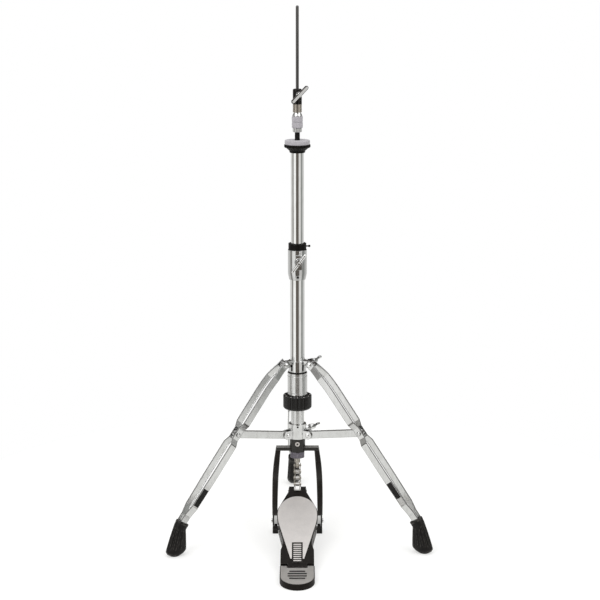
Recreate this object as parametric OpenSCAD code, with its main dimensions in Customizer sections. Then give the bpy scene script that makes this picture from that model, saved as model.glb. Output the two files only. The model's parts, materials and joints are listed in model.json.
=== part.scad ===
// Hi-hat stand: a double-braced tripod, a telescopic column, and a chain-driven pedal.
// Millimetres, +Z up, the player sits on the -Y side. The floor is z = 0.

/* [Column] */
// Outside diameter of the lower tube
lower_tube_d = 28.6; // [27:0.1:30]
// Outside diameter of the upper tube
upper_tube_d = 25.4; // [24:0.1:25.6]
// Outside diameter of the neck tube below the spring housing
neck_d = 27; // [25:0.1:28]
// Diameter of the upper pull rod
rod_d = 6; // [5:0.1:7]
// Height of the pull rod's tip above the floor
rod_top = 1037; // [1000:1:1080]
// Height of the seat felt's top face
seat_top = 784; // [775:1:790]
// Height of the top of the height clamp
clamp_top = 572; // [565:1:575]
// Diameter of the tension dial
dial_d = 56.5; // [50:0.5:62]

/* [Tripod] */
// Turn of the whole tripod about the column, counter-clockwise from above
tripod_turn = 1.8; // [0:0.1:4]
// Radius from the column to the centre of a foot
foot_r = 275; // [273:0.5:277]
// Half length of a foot's oval base, measured along the leg
foot_half = 20.8; // [19:0.1:22]
// Half width of a foot's oval base
foot_side = 14.2; // [12:0.1:16]
// Height of the leg pivots
leg_pivot_z = 345; // [343:1:347]
// Width of a leg strip
strip_w = 14; // [12:0.5:15]
// Half the distance between the two strips of a leg where they are spread
strip_spread = 13.5; // [10:0.5:15]

/* [Pedal] */
// Distance from the column to the rounded heel end
heel_end = 318; // [310:1:330]
// Length of the footboard from the hinge pin to the toe
board_len = 247; // [245:0.5:249]
// Greatest width of the footboard
board_w = 79.4; // [76:0.1:82]
// Slope of the footboard at rest, in degrees
board_slope = 17.45; // [16:0.05:19]
// Pitch of the roller chain
chain_pitch = 12.7; // [12.7:0.1:12.8]

/* [Seat and clutch] */
// Diameter of the seat felt
seat_felt_d = 48.4; // [44:0.1:50]
// Diameter of the clutch felts
clutch_felt_d = 21; // [19:0.1:24]

/* [Hidden] */
$fn = 64;

chrome = "gainsboro";
black = [0.11, 0.10, 0.09];
felt_grey = [0.71, 0.69, 0.72];
silver = [0.80, 0.79, 0.77];
dark_nickel = [0.42, 0.40, 0.43];

fit = 0.05;          // running clearance on the radius of a shaft or a sliding tube
gap = 0.3;           // clearance between faces that don't touch
eps = 0.01;

// Places of the legs around the column
leg_left_az = 210 + tripod_turn;
leg_right_az = 330 + tripod_turn;
leg_rear_az = 90 + tripod_turn;
screw_az = (leg_right_az + leg_rear_az) / 2 - 180;         // midway between the right and rear legs

// The column stands off the origin so that the origin is the middle of the whole outline
function oval_reach(along, across) = sqrt(pow(foot_half * along, 2) + pow(foot_side * across, 2));
box_min_x = foot_r * cos(leg_left_az) - oval_reach(cos(leg_left_az), sin(leg_left_az));
box_max_x = foot_r * cos(leg_right_az) + oval_reach(cos(leg_right_az), sin(leg_right_az));
box_max_y = foot_r * sin(leg_rear_az) + oval_reach(sin(leg_rear_az), cos(leg_rear_az));
post_x = -(box_min_x + box_max_x) / 2;
post_y = -(box_max_y - heel_end) / 2;

// Heights on the column
hub_bottom = 163;
brace_bottom = 191;
hub_top = brace_bottom;
brace_pivot_z = 200.5;
brace_ear_top = 213;
brace_top = 221;
dial_bottom = 252;
dial_top = 280;
housing_bottom = dial_top + gap;
housing_top = 328;
leg_collar_top = 350;
lower_tube_bottom = 300;
neck_bottom = 175;
clamp_bottom = 513;
memory_lock_h = 12;
seat_felt_h = 8;
cup_rim_h = 6;
cup_top = seat_top - seat_felt_h;
cup_h = 16;
cup_bottom = cup_top - cup_h;
sleeve_top = seat_top + 15;

// Radii on the column
lower_r = lower_tube_d / 2;
lower_bore_r = lower_r - 1.2;
upper_r = upper_tube_d / 2;
upper_bore_r = upper_r - 1.2;
neck_r = neck_d / 2;
neck_bore_r = neck_r - 1.8;
housing_r = 19.5;
clamp_r = 18.5;
hub_r = 15.6;
collar_r = 17.5;
rod_r = rod_d / 2;
lower_rod_r = 3.5;
cup_r = 25.4;
stud_r = 5;

// Footboard and heel
pin_y = -234;
pin_z = 9.2;
pin_r = 2;
knuckle_r = 4.6;
knuckle_w = 36;
board_t = 6;
board_top = 5;                              // top face above the pin, measured square to the board
neck_w = 34;
waist_w = 54.8;
rear_w = 63.6;
toe_bolt_u = board_len - 7;
toe_bolt_v = 0.5;
toe_bolt_r = 2.5;
toe_slot_w = 13;
heel_top = 12;
base_t = 3;

// Chain: the toe bolt's place and the pin of the rod connector above it
toe_y = pin_y + toe_bolt_u * cos(board_slope) - toe_bolt_v * sin(board_slope);
toe_z = pin_z + toe_bolt_u * sin(board_slope) + toe_bolt_v * cos(board_slope);
chain_links = 4;
chain_len = chain_links * chain_pitch;
chain_lean = asin(-toe_y / chain_len);
chain_top_z = toe_z + chain_len * cos(chain_lean);
chain_pin_r = 2;
roller_r = 4.2;
link_r = 5.5;
connector_top = 149.5;

// Legs: a short bend outside the collar, then a straight run to the foot
leg_pivot_r = 31;
bend_start = 53;                            // slope from the vertical at the pivot
leg_slope = 38;                             // slope from the vertical of the straight run
bend_len = 71;
bend_radius = bend_len / ((bend_start - leg_slope) * PI / 180);
pinch_at = 165.4;                           // path length from the pivot to the strut's rivet
leg_end_at = 371;
strip_t = 1.5;
strip_depth = 2.8;
strip_close = 6.5;                          // half spacing where the strips are drawn together
strip_top = 8;                              // half spacing at the collar's ear
strut_pivot_r = 26;
strut_t = 8;
strut_h = 14.5;
ear_t = 11;
leg_pin_r = 3;
strut_pin_r = 2.5;
foot_rim = [13.4, 12.2];                    // half sizes of the rim, along and across the leg
foot_rim_at = [260.5, 63.2];
foot_rim_tilt = 32;
foot_base_z = 10;                           // height of the widest place

// Wing screws
leg_screw_z = 343;
brace_screw_z = 208;
clamp_screw_z = 550;
clamp_screw_x = 3;
clutch_screw_z = 872;
clutch_screw_turn = 13;                     // towards the right of the front
collar_screw_r = 3;

// ---- placing helpers ----

module on_post() translate([post_x, post_y, 0]) children();

// Turns a shape drawn in the X-Z plane towards an azimuth, with +X outward
module at_azimuth(a) on_post() rotate([0, 0, a]) children();

// A flat shape drawn with x outward and y up, made t thick and centred across the azimuth
module upright(t) rotate([90, 0, 0]) linear_extrude(height = t, center = true) children();

module tube(r_out, r_in, z0, z1) {
    translate([0, 0, z0]) difference() {
        cylinder(r = r_out, h = z1 - z0);
        translate([0, 0, -1]) cylinder(r = r_in, h = z1 - z0 + 2);
    }
}

// Rod along x from x0 to x1
module x_rod(r, x0, x1) translate([x0, 0, 0]) rotate([0, 90, 0]) cylinder(r = r, h = x1 - x0);

module x_rod_centred(r, len) x_rod(r, -len / 2, len / 2);

// Outline of one wing in the x-z plane, rising towards its round tip
module wing_outline(span, root_h) {
    tip_r = span * 0.11;
    tip_x = span / 2 - tip_r;
    tip_z = root_h * 0.95;
    translate([tip_x, tip_z]) circle(r = tip_r);
    polygon([
        [0, 0.5],
        [tip_x + tip_r * 0.6, tip_z - tip_r * 0.8],
        [tip_x - tip_r * 0.3, tip_z + tip_r * 0.95],
        [0, root_h * 0.8]
    ]);
}

// Wing head with its base at z = 0 and its axis on +Z
module wing_head(span, hub, root_h, wing_t) {
    cylinder(r1 = hub, r2 = hub * 0.8, h = root_h);
    for (side = [0, 180])
        rotate([90, 0, side]) linear_extrude(height = wing_t, center = true)
            wing_outline(span, root_h);
}

// Bar head with round ends on a hub, its base at z = 0 and its axis on +Z
module bar_head(span, width, hub, bore_r = 0) {
    bar_z = 3.5;
    bar_t = 6;
    difference() {
        union() {
            cylinder(r1 = hub, r2 = hub * 0.8, h = bar_z + bar_t);
            translate([0, 0, bar_z]) linear_extrude(height = bar_t) {
                square([span - width, width], center = true);
                for (side = [-1, 1])
                    translate([side * (span - width) / 2, 0]) circle(d = width);
            }
        }
        if (bore_r > 0) translate([0, 0, -1]) cylinder(r = bore_r, h = bar_z + bar_t + 2);
    }
}

// ---- column ----

module lower_tube() color(chrome) on_post()
    tube(lower_r, lower_bore_r, lower_tube_bottom, clamp_top - 12);

module tube_bushing() color(black) on_post()
    tube(lower_r - fit, upper_r + fit, clamp_top - 12, clamp_top - 0.5);

module height_clamp() color(chrome) on_post() difference() {
    lug_front = -27;
    union() {
        translate([0, 0, clamp_bottom + 12]) cylinder(r = clamp_r, h = clamp_top - clamp_bottom - 12);
        translate([0, 0, clamp_bottom]) cylinder(r1 = lower_r + 1.8, r2 = clamp_r, h = 12);
        translate([clamp_screw_x, lug_front, clamp_screw_z]) rotate([-90, 0, 0]) cylinder(r = 8, h = 20);
        translate([clamp_screw_x - 6, lug_front + 4, clamp_bottom + 22]) cube([12, 14, 28]);
    }
    translate([0, 0, clamp_bottom - 1]) cylinder(r = lower_r + fit, h = 80);
    // slit beside the lug
    translate([-2, 5, clamp_bottom + 8]) cube([4, 30, 80]);
    // bore for the stud
    translate([clamp_screw_x, -40, clamp_screw_z]) rotate([-90, 0, 0]) cylinder(r = 3, h = 40);
    // key hole near the lower edge
    translate([1, -30, clamp_bottom + 7]) rotate([-90, 0, 0]) cylinder(r = 1.8, h = 14);
}

module clamp_bolt() color(chrome) on_post()
    translate([clamp_screw_x, -38, clamp_screw_z]) rotate([-90, 0, 0]) cylinder(r = 3, h = 38 - 14.6);

module clamp_wing_nut() color(chrome) on_post()
    translate([clamp_screw_x, -27 - gap, clamp_screw_z]) rotate([90, 0, 0]) rotate([0, 0, 54])
        bar_head(45, 5.6, 7, bore_r = 3 + fit);

module spring_housing() color(chrome) on_post() difference() {
    union() {
        translate([0, 0, housing_bottom]) cylinder(r = housing_r, h = housing_top - housing_bottom - 3);
        translate([0, 0, housing_top - 3]) cylinder(r1 = housing_r, r2 = housing_r - 2, h = 3);
    }
    translate([0, 0, lower_tube_bottom]) cylinder(r = lower_r, h = 60);
    translate([0, 0, housing_bottom - 1]) cylinder(r = neck_r, h = lower_tube_bottom - housing_bottom + 2);
    // turned grooves near both ends
    for (z = [housing_bottom + 5, housing_top - 9])
        tube(housing_r + 2, housing_r - 0.6, z, z + 1.2);
}

module column_neck() color(chrome) on_post() tube(neck_r, neck_bore_r, neck_bottom, lower_tube_bottom);

module tension_dial() color(black) on_post() difference() {
    rib_count = 30;
    dial_r = dial_d / 2;
    round_r = 3.5;
    bore_r = neck_r + fit;
    dial_h = dial_top - dial_bottom;
    rotate_extrude($fn = 96) {
        translate([dial_r - round_r, dial_bottom + round_r]) circle(r = round_r);
        translate([bore_r, dial_bottom]) square([dial_r - round_r - bore_r, dial_h]);
        translate([neck_r + 2, dial_bottom + round_r]) square([dial_r - neck_r - 2, dial_h - round_r]);
    }
    // grip grooves
    for (i = [0 : rib_count - 1])
        rotate([0, 0, i * 360 / rib_count]) translate([dial_r + 0.7, 0, dial_bottom - 1])
            cylinder(r = 1.7, h = dial_h + 2);
}

module return_spring() color(chrome) on_post() {
    wire_r = 1.1;
    coil_r = 9;
    turns = 9;
    per_turn = 20;
    sides = 8;
    z0 = neck_bottom + 2.2 + wire_r;
    z1 = 262 - wire_r - gap;
    steps = turns * per_turn;
    points = [for (i = [0 : steps], j = [0 : sides - 1])
        let (a = i * 360 / per_turn, b = j * 360 / sides, r = coil_r + wire_r * cos(b))
        [r * cos(a), r * sin(a), z0 + (z1 - z0) * i / steps + wire_r * sin(b)]];
    side_faces = [for (i = [0 : steps - 1], j = [0 : sides - 1])
        let (k = (j + 1) % sides)
        [i * sides + j, i * sides + k, (i + 1) * sides + k, (i + 1) * sides + j]];
    first_cap = [for (j = [0 : sides - 1]) sides - 1 - j];
    last_cap = [for (j = [0 : sides - 1]) steps * sides + j];
    polyhedron(points = points, faces = concat(side_faces, [first_cap], [last_cap]));
}

// ---- yoke and base ----

// The yoke arm bows outwards: x, y, z and width of its sections
arm_sections = [[38, -0.5, 171, 10], [41.6, -5, 139, 12], [44.2, -9, 100, 12], [45, -19, 37.5, 10.6]];

// One length of a yoke arm, between two sections
module arm_length(side, from, to) hull() {
    for (p = [from, to])
        translate([side * p[0], p[1], p[2]]) cube([p[3], 13, 1], center = true);
}

module yoke() color(black) on_post() difference() {
    bar_half = 42.8;
    union() {
        translate([0, 0, hub_bottom]) cylinder(r = hub_r, h = hub_top - hub_bottom - gap);
        translate([-bar_half, -8, 165]) cube([bar_half * 2, 16, 7]);
        for (side = [-1, 1]) {
            for (i = [0 : 2])
                arm_length(side, arm_sections[i], arm_sections[i + 1]);
            // flange down the outside of the base bracket
            translate([side * 48.4 - 1.4, -25.5, 13]) cube([2.8, 13, 25]);
        }
    }
    translate([0, 0, neck_bottom]) cylinder(r = neck_r, h = 60);
    translate([0, 0, hub_bottom - 1]) cylinder(r = lower_rod_r + 4, h = 60);
    // bore of the hub screw
    translate([0, -30, 182]) rotate([-90, 0, 0]) cylinder(r = 2.5, h = 30);
    // pivot bolt holes through the flanges
    translate([0, -19, 23]) x_rod_centred(2.5, 120);
}

module hub_screw() color(silver) on_post() difference() {
    head_r = 4.5;
    union() {
        translate([0, -hub_r - 3, 182]) rotate([-90, 0, 0]) cylinder(r = head_r, h = 3);
        translate([0, -hub_r - 3, 182]) rotate([-90, 0, 0]) cylinder(r = 2.5, h = hub_r + 3 - neck_r - 0.1);
    }
    translate([0, -hub_r - 4, 182]) rotate([-90, 0, 0]) cylinder(r = 2.2, h = 3, $fn = 6);
}

// Hexagonal guide of the pull rod, under the hub
module guide_nut() color(dark_nickel) on_post() {
    across_corners = 32;
    difference() {
        union() {
            translate([0, 0, 150.5]) rotate([0, 0, 30])
                cylinder(d = across_corners, h = hub_bottom - 150.5, $fn = 6);
            translate([0, 0, hub_bottom]) cylinder(r = lower_rod_r + 4, h = neck_bottom - hub_bottom);
        }
        translate([0, 0, 140]) cylinder(r = lower_rod_r + fit, h = 40);
    }
}

module base_brackets() color(chrome) on_post() for (side = [-1, 1]) difference() {
    union() {
        translate([side * 43 - 3.6, -26, 14]) cube([7.2, 14, 22]);
        translate([side * 40.4 - 6.4, -30, 4]) cube([12.8, 22, 3]);
        translate([side * 43 - 3.6, -26, 7]) cube([7.2, 14, 7]);
    }
    translate([0, -19, 23]) x_rod_centred(2.5, 120);
}

module pivot_bolts() color(chrome) on_post() for (side = [-1, 1])
    translate([0, -19, 23]) scale([side, 1, 1]) {
        x_rod(2.5, 37, 50);
        x_rod(4.5, 49.8, 52.4);
        x_rod(4.2, 35.8, 39.4);
    }

module yoke_feet() color(black) on_post() for (side = [-1, 1]) difference() {
    union() {
        translate([side * 44 - 5.6, -31, 0]) cube([11.2, 23, 12]);
        // front wall in two tiers
        translate([side * 44 - 5.6, -33, 0]) cube([11.2, 2.7, 8]);
        translate([side * 44 - 4.6, -32, 7]) cube([9.2, 1.7, 9.5]);
    }
    // seat for the bracket's flange and the base plate
    translate([side * 40.4 - 6.6, -30.3, 4 - eps]) cube([13.2, 24, 20]);
    translate([-38, -60, 1]) cube([76, 60, 4]);
}

// Wide between the yoke feet, then a narrow tongue under the footboard
function base_right() = [[29.5, -285], [30.5, -108], [37.8, -40], [37.8, -6]];

module base_plate() color(silver) on_post() translate([0, 0, 1]) linear_extrude(height = base_t)
    mirrored_outline(base_right());

// Outline of the heel plate: straight sides and a round end
module heel_outline(inset) {
    half = 32.5 - inset;
    arc_y = -280;
    depth = heel_end - 280 - inset;
    front = pin_y + 6 - inset;
    arc = [for (a = [180 : 7.5 : 360]) [half * cos(a), arc_y + depth * sin(a)]];
    polygon(concat([[half, front], [-half, front]], arc));
}

module heel_plate() color(black) on_post() difference() {
    linear_extrude(height = heel_top) heel_outline(0);
    // room for the footboard's knuckle
    translate([-knuckle_w / 2 - gap, pin_y - 5.2, -1]) cube([knuckle_w + 2 * gap, 20, 30]);
    // seat for the base plate
    translate([-30.1, -285.1, -1]) cube([60.2, 80, base_t + 2 + eps]);
    // bore of the hinge pin
    translate([0, pin_y, pin_z]) x_rod_centred(pin_r, 80);
}

module heel_inlay() color(silver) on_post() translate([0, 0, heel_top]) difference() {
    linear_extrude(height = 0.6) heel_outline(1.6);
    translate([-knuckle_w / 2 - 1.3, pin_y - 5.8, -1]) cube([knuckle_w + 2.6, 20, 4]);
}

module hinge_pin() color(chrome) on_post() translate([0, pin_y, pin_z]) x_rod_centred(pin_r - eps, 63);

// ---- footboard: drawn along +Y from the hinge pin, then sloped ----

module on_board() on_post() translate([0, pin_y, pin_z]) rotate([board_slope, 0, 0]) children();

wide_u = 153;                               // where the board is widest
waist_u = 68;
flare_u = 46;                               // where the flare towards the heel ends
// Half width between the waist and the widest place, easing in and out
function side_half(u) =
    (board_w + waist_w) / 4 - (board_w - waist_w) / 4 * cos(180 * (u - waist_u) / (wide_u - waist_u));
function flare_half(u) =
    (rear_w + waist_w) / 4 + (rear_w - waist_w) / 4 * cos(180 * (u - flare_u) / (waist_u - flare_u));

module mirrored_outline(right)
    polygon(concat(right, [for (i = [len(right) - 1 : -1 : 0]) [-right[i][0], right[i][1]]]));

function board_right() = concat(
    [[rear_w / 2, 8], [rear_w / 2, flare_u]],
    [for (u = [flare_u + 4 : 6 : waist_u - 4]) [flare_half(u), u]],
    [for (u = [waist_u : 8.5 : wide_u]) [side_half(u), u]],
    [for (a = [15 : 15 : 45]) [board_w / 2 - 6 * (1 - cos(a)), wide_u + 32 * sin(a)]],
    [[neck_w / 2, 232], [neck_w / 2, board_len - 1]]
);

module footboard() color(black) on_board() difference() {
    union() {
        translate([0, 0, board_top - board_t]) linear_extrude(height = board_t)
            mirrored_outline(board_right());
        // thick toe that carries the chain bolt
        translate([-neck_w / 2, 230, -4]) cube([neck_w, board_len - 230, 9]);
        // hinge knuckle and its tongue
        x_rod_centred(knuckle_r, knuckle_w);
        translate([-knuckle_w / 2, 0, 0]) cube([knuckle_w, 12, board_top]);
    }
    x_rod_centred(pin_r + fit, 100);
    translate([-toe_slot_w / 2, 231, -10]) cube([toe_slot_w, 40, 30]);
    translate([0, toe_bolt_u, toe_bolt_v]) x_rod_centred(toe_bolt_r, 60);
    // hollow underside
    translate([0, 0, board_top - board_t - 1]) linear_extrude(height = board_t - 2)
        polygon([[-24, 24], [-24, 70], [-34, 150], [-30, 176], [-10, 224], [10, 224], [30, 176], [34, 150],
                 [24, 70], [24, 24]]);
}

inlay_top_u = 213.5;
inlay_mid_u = 158;
inlay_tip_u = 21.6;
inlay_half = 38.4;
function inlay_right() = concat(
    [[10.2, inlay_tip_u], [13, inlay_tip_u]],
    [for (u = [92 : 10 : 152]) [min(side_half(u) - 1.3, inlay_half), u]],
    [for (a = [0 : 9 : 90]) [inlay_half * cos(a), inlay_mid_u + (inlay_top_u - inlay_mid_u) * sin(a)]]
);

module footboard_inlay() color(silver) on_board() translate([0, 0, board_top]) linear_extrude(height = 0.7)
    difference() {
        mirrored_outline(inlay_right());
        translate([-10.2, -10]) square([20.4, 80]);
    }

module grip_plate() color(black) on_board() {
    rib_count = 9;
    plate_t = 0.8;
    translate([-9.6, 9, board_top]) cube([19.2, 60, plate_t]);
    for (i = [0 : rib_count - 1])
        translate([-7.6, 13.5 + i * 6, board_top + plate_t]) cube([15.2, 3, 0.8]);
}

module toe_bolt() color(chrome) on_board() translate([0, toe_bolt_u, toe_bolt_v]) {
    x_rod_centred(toe_bolt_r - eps, neck_w);
    for (side = [-1, 1]) scale([side, 1, 1]) x_rod(3.6, neck_w / 2, neck_w / 2 + 2);
}

// ---- chain: drawn hanging straight down from its top pin, then leaned ----

module on_chain() on_post() translate([0, 0, chain_top_z]) rotate([-chain_lean, 0, 0]) children();

// One link plate from pin i to pin i + 1, at a distance x from the middle
module link_plate(i, x, hole_r, end_hole_r) {
    plate_t = 1.3;
    translate([x, 0, -i * chain_pitch]) rotate([0, 90, 0]) linear_extrude(height = plate_t, center = true)
        difference() {
            union() {
                circle(r = link_r);
                translate([chain_pitch, 0]) circle(r = link_r);
                translate([0, -link_r * 0.72]) square([chain_pitch, link_r * 1.44]);
            }
            circle(r = hole_r);
            translate([chain_pitch, 0]) circle(r = end_hole_r);
        }
}

module chain_plates() color(chrome) on_chain() for (i = [0 : chain_links - 1], side = [-1, 1]) {
    inner = i % 2;
    last = i == chain_links - 1;
    link_plate(i, side * (inner == 1 ? 4.7 : 6.3), chain_pin_r, last ? toe_bolt_r + 1.4 : chain_pin_r);
}

module chain_rollers() color(silver) on_chain() for (i = [1 : chain_links - 1])
    translate([0, 0, -i * chain_pitch]) difference() {
        x_rod_centred(roller_r, 7.6);
        x_rod_centred(chain_pin_r, 12);
    }

module chain_pins() color(chrome) on_chain() for (i = [0 : chain_links - 1])
    translate([0, 0, -i * chain_pitch]) x_rod_centred(chain_pin_r - eps, 15.4);

// ---- pull rod ----

module pull_rod_lower() color(chrome) on_post()
    translate([0, 0, connector_top - 6]) cylinder(r = lower_rod_r, h = 560 - connector_top + 6);

module pull_rod_upper() color(chrome) on_post() {
    mark_z = 888;
    translate([0, 0, 560]) cylinder(r = rod_r, h = mark_z - 560);
    translate([0, 0, mark_z]) cylinder(r = rod_r - 0.25, h = 1);
    translate([0, 0, mark_z + 1]) cylinder(r = rod_r, h = rod_top - rod_r - mark_z - 1);
    translate([0, 0, rod_top - rod_r]) sphere(r = rod_r);
}

module rod_coupler() color(chrome) on_post() difference() {
    translate([0, 0, 545]) cylinder(r = 6, h = 30);
    translate([0, 0, 540]) cylinder(r = lower_rod_r, h = 20);
    translate([0, 0, 555]) cylinder(r = rod_r, h = 30);
}

module spring_collar() color(chrome) on_post() tube(10.6, lower_rod_r, 262, 268);

module rod_connector() color(silver) on_post() difference() {
    tongue_w = 7.2;
    union() {
        translate([0, 0, 139.5]) cylinder(r = 5.6, h = connector_top - 139.5);
        translate([0, 0, chain_top_z]) rotate([0, 0, 90]) upright(tongue_w) {
            circle(r = 4.9);
            translate([-4.9, 0]) square([9.8, 140 - chain_top_z]);
        }
    }
    translate([0, 0, connector_top - 6]) cylinder(r = lower_rod_r, h = 20);
    translate([0, 0, chain_top_z]) x_rod_centred(chain_pin_r + fit, 20);
}

// ---- upper tube and seat ----

module upper_tube() color(chrome) on_post() tube(upper_r, upper_bore_r, 425, cup_bottom + 1);

lock_bolt_r = 1.3;

module memory_lock() color(black) on_post() {
    z0 = clamp_top + 0.5;
    difference() {
        translate([0, 0, z0]) cylinder(r = 17.4, h = memory_lock_h);
        translate([0, 0, z0 - 1]) cylinder(r = upper_r, h = memory_lock_h + 2);
        // slit at the back
        translate([-1, 5, z0 - 1]) cube([2, 20, memory_lock_h + 2]);
        translate([0, 0, z0 + memory_lock_h / 2]) x_rod(lock_bolt_r, 10, 30);
        // shallow notches in the top edge
        for (a = [20, 160, 200, 250, 290, 340])
            rotate([0, 0, a]) translate([14.6, -2, z0 + memory_lock_h - 1.2]) cube([5, 4, 3]);
    }
}

// Key bolt with a ball end that presses on the upper tube
module memory_lock_bolt() color(black) on_post() translate([0, 0, clamp_top + 0.5 + memory_lock_h / 2]) {
    x_rod(lock_bolt_r - eps, upper_r + gap, 23);
    translate([23, 0, 0]) sphere(r = 2.4);
}

module seat_cup() color(black) on_post() difference() {
    rib_count = 24;
    union() {
        translate([0, 0, cup_top - cup_rim_h]) cylinder(r = cup_r, h = cup_rim_h);
        translate([0, 0, cup_bottom + 1]) cylinder(r1 = 15, r2 = 22, h = cup_h - cup_rim_h - 1);
        translate([0, 0, cup_bottom - 18]) cylinder(r = upper_bore_r - eps, h = 20);
    }
    translate([0, 0, cup_bottom - 30]) cylinder(r = rod_r + 1, h = 60);
    translate([0, 0, cup_top - 8]) cylinder(r = stud_r, h = 20);
    for (i = [0 : rib_count - 1])
        rotate([0, 0, i * 360 / rib_count])
            translate([cup_r + 0.6, 0, cup_bottom]) cylinder(r = 1.6, h = 40);
}

module seat_felt() color(felt_grey) on_post() tube(seat_felt_d / 2, stud_r + gap, cup_top, seat_top);

// Threaded stud of the seat that centres the bottom cymbal
module seat_sleeve() color(black) on_post() tube(stud_r, rod_r + gap, cup_top - 8, sleeve_top);

// ---- clutch ----

clutch_z = sleeve_top + 0.3;                // lower end of the clutch, resting over the sleeve
nut_h = 8.2;
felt_h = 11.2;
washer_h = 7.5;
barrel_h = 15;
felt_z = clutch_z + nut_h;
washer_z = felt_z + 2 * felt_h;
barrel_z = washer_z + washer_h;
body_z = barrel_z + barrel_h;
body_h = 29;
clutch_tube_r = 5;

module clutch_nut() color(chrome) on_post() difference() {
    grip_count = 16;
    nut_r = 8.8;
    translate([0, 0, clutch_z]) cylinder(r = nut_r, h = nut_h);
    translate([0, 0, clutch_z - 1]) cylinder(r = clutch_tube_r, h = nut_h + 2);
    for (i = [0 : grip_count - 1])
        rotate([0, 0, i * 360 / grip_count]) translate([nut_r + 0.4, 0, clutch_z - 1])
            cylinder(r = 0.9, h = nut_h + 2);
}

module clutch_felts() color(felt_grey) on_post() for (i = [0, 1])
    tube(clutch_felt_d / 2, clutch_tube_r, felt_z + i * felt_h, felt_z + (i + 1) * felt_h - 0.2);

module clutch_washer() color(chrome) on_post() difference() {
    union() {
        translate([0, 0, washer_z]) cylinder(r1 = 9.6, r2 = 7.6, h = washer_h - 2.5);
        translate([0, 0, washer_z + washer_h - 2.5]) cylinder(r = 7.6, h = 2.5);
    }
    translate([0, 0, washer_z - 1]) cylinder(r = clutch_tube_r, h = washer_h + 2);
}

module clutch_barrel() color(chrome) on_post() difference() {
    translate([0, 0, barrel_z]) cylinder(r = 8.6, h = barrel_h);
    translate([0, 0, barrel_z - 1]) cylinder(r = clutch_tube_r, h = barrel_h + 2);
    tube(12, 8.1, barrel_z + barrel_h / 2 - 0.6, barrel_z + barrel_h / 2 + 0.6);
}

module clutch_tube() color(chrome) on_post() tube(clutch_tube_r, rod_r + fit, clutch_z, body_z + 8);

// On the axis of the clutch's wing screw, at a distance from the rod and facing it
module at_clutch_screw(out)
    rotate([0, 0, clutch_screw_turn]) translate([0, -out, clutch_screw_z]) rotate([-90, 0, 0]) children();

module clutch_body() color(dark_nickel) on_post() difference() {
    union() {
        translate([0, 0, body_z]) cylinder(r = 8.7, h = body_h - 2);
        translate([0, 0, body_z + body_h - 2]) cylinder(r1 = 8.7, r2 = 7, h = 2);
        at_clutch_screw(14) cylinder(r = 5.5, h = 10);
    }
    translate([0, 0, body_z - 1]) cylinder(r = rod_r + gap, h = body_h + 3);
    translate([0, 0, body_z - 1]) cylinder(r = clutch_tube_r, h = 9);
    at_clutch_screw(20) cylinder(r = 2.5 + fit, h = 20);
}

module clutch_wing_screw() color(chrome) on_post() {
    boss_end = 14;
    shank_r = 2.5;
    at_clutch_screw(boss_end + gap) {
        rotate([180, 0, 0]) rotate([0, 0, 45]) bar_head(44, 7.6, 5.5);
        translate([0, 0, -1]) cylinder(r = shank_r, h = boss_end - rod_r + 1);
    }
}

// ---- collars ----

// Ear of a collar in the upright plane, with a round end on the pivot
module ear(pivot_r, pivot_z, end_r, from_r) {
    translate([pivot_r, pivot_z]) circle(r = end_r);
    translate([from_r, pivot_z - end_r]) square([pivot_r - from_r, 2 * end_r]);
}

// Boss of a collar's wing screw, and its bore
module at_screw(z) rotate([0, 0, screw_az - tripod_turn]) translate([0, 0, z]) children();

module clamp_boss(z) at_screw(z) x_rod(6, collar_r - 4, collar_r + 5);

module clamp_boss_bore(z) at_screw(z) x_rod(collar_screw_r + fit, 5, 40);

collar_window_turn = 38.5;

module leg_collar() color(chrome) at_azimuth(tripod_turn) difference() {
    union() {
        translate([0, 0, housing_top + gap]) cylinder(r = collar_r, h = leg_collar_top - housing_top - gap);
        for (a = [90, 210, 330])
            rotate([0, 0, a]) upright(ear_t) ear(leg_pivot_r, leg_pivot_z, 6.5, lower_r + 1.5);
        clamp_boss(leg_screw_z);
    }
    translate([0, 0, housing_top - 10]) cylinder(r = lower_r + fit, h = 60);
    for (a = [90, 210, 330])
        rotate([0, 0, a]) translate([leg_pivot_r, 0, leg_pivot_z]) rotate([90, 0, 0])
            cylinder(r = leg_pin_r, h = 30, center = true);
    clamp_boss_bore(leg_screw_z);
    // two windows at the front
    for (side = [-1, 1])
        rotate([0, 0, 270 - tripod_turn + side * collar_window_turn])
            translate([10, -1.6, 331.5]) cube([20, 3.2, 12]);
}

module leg_pins() color(chrome) at_azimuth(tripod_turn) for (a = [90, 210, 330])
    rotate([0, 0, a]) translate([leg_pivot_r, 0, leg_pivot_z]) rotate([90, 0, 0]) {
        cylinder(r = leg_pin_r - eps, h = 2 * strip_top + 5, center = true);
        for (side = [-1, 1]) scale([1, 1, side]) {
            translate([0, 0, strip_top + strip_t + 0.2]) cylinder(r = 4.6, h = 1.6);
            translate([0, 0, strip_top + strip_t + 1.8]) cylinder(r1 = 4.6, r2 = 2.8, h = 1.2);
        }
    }

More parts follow.
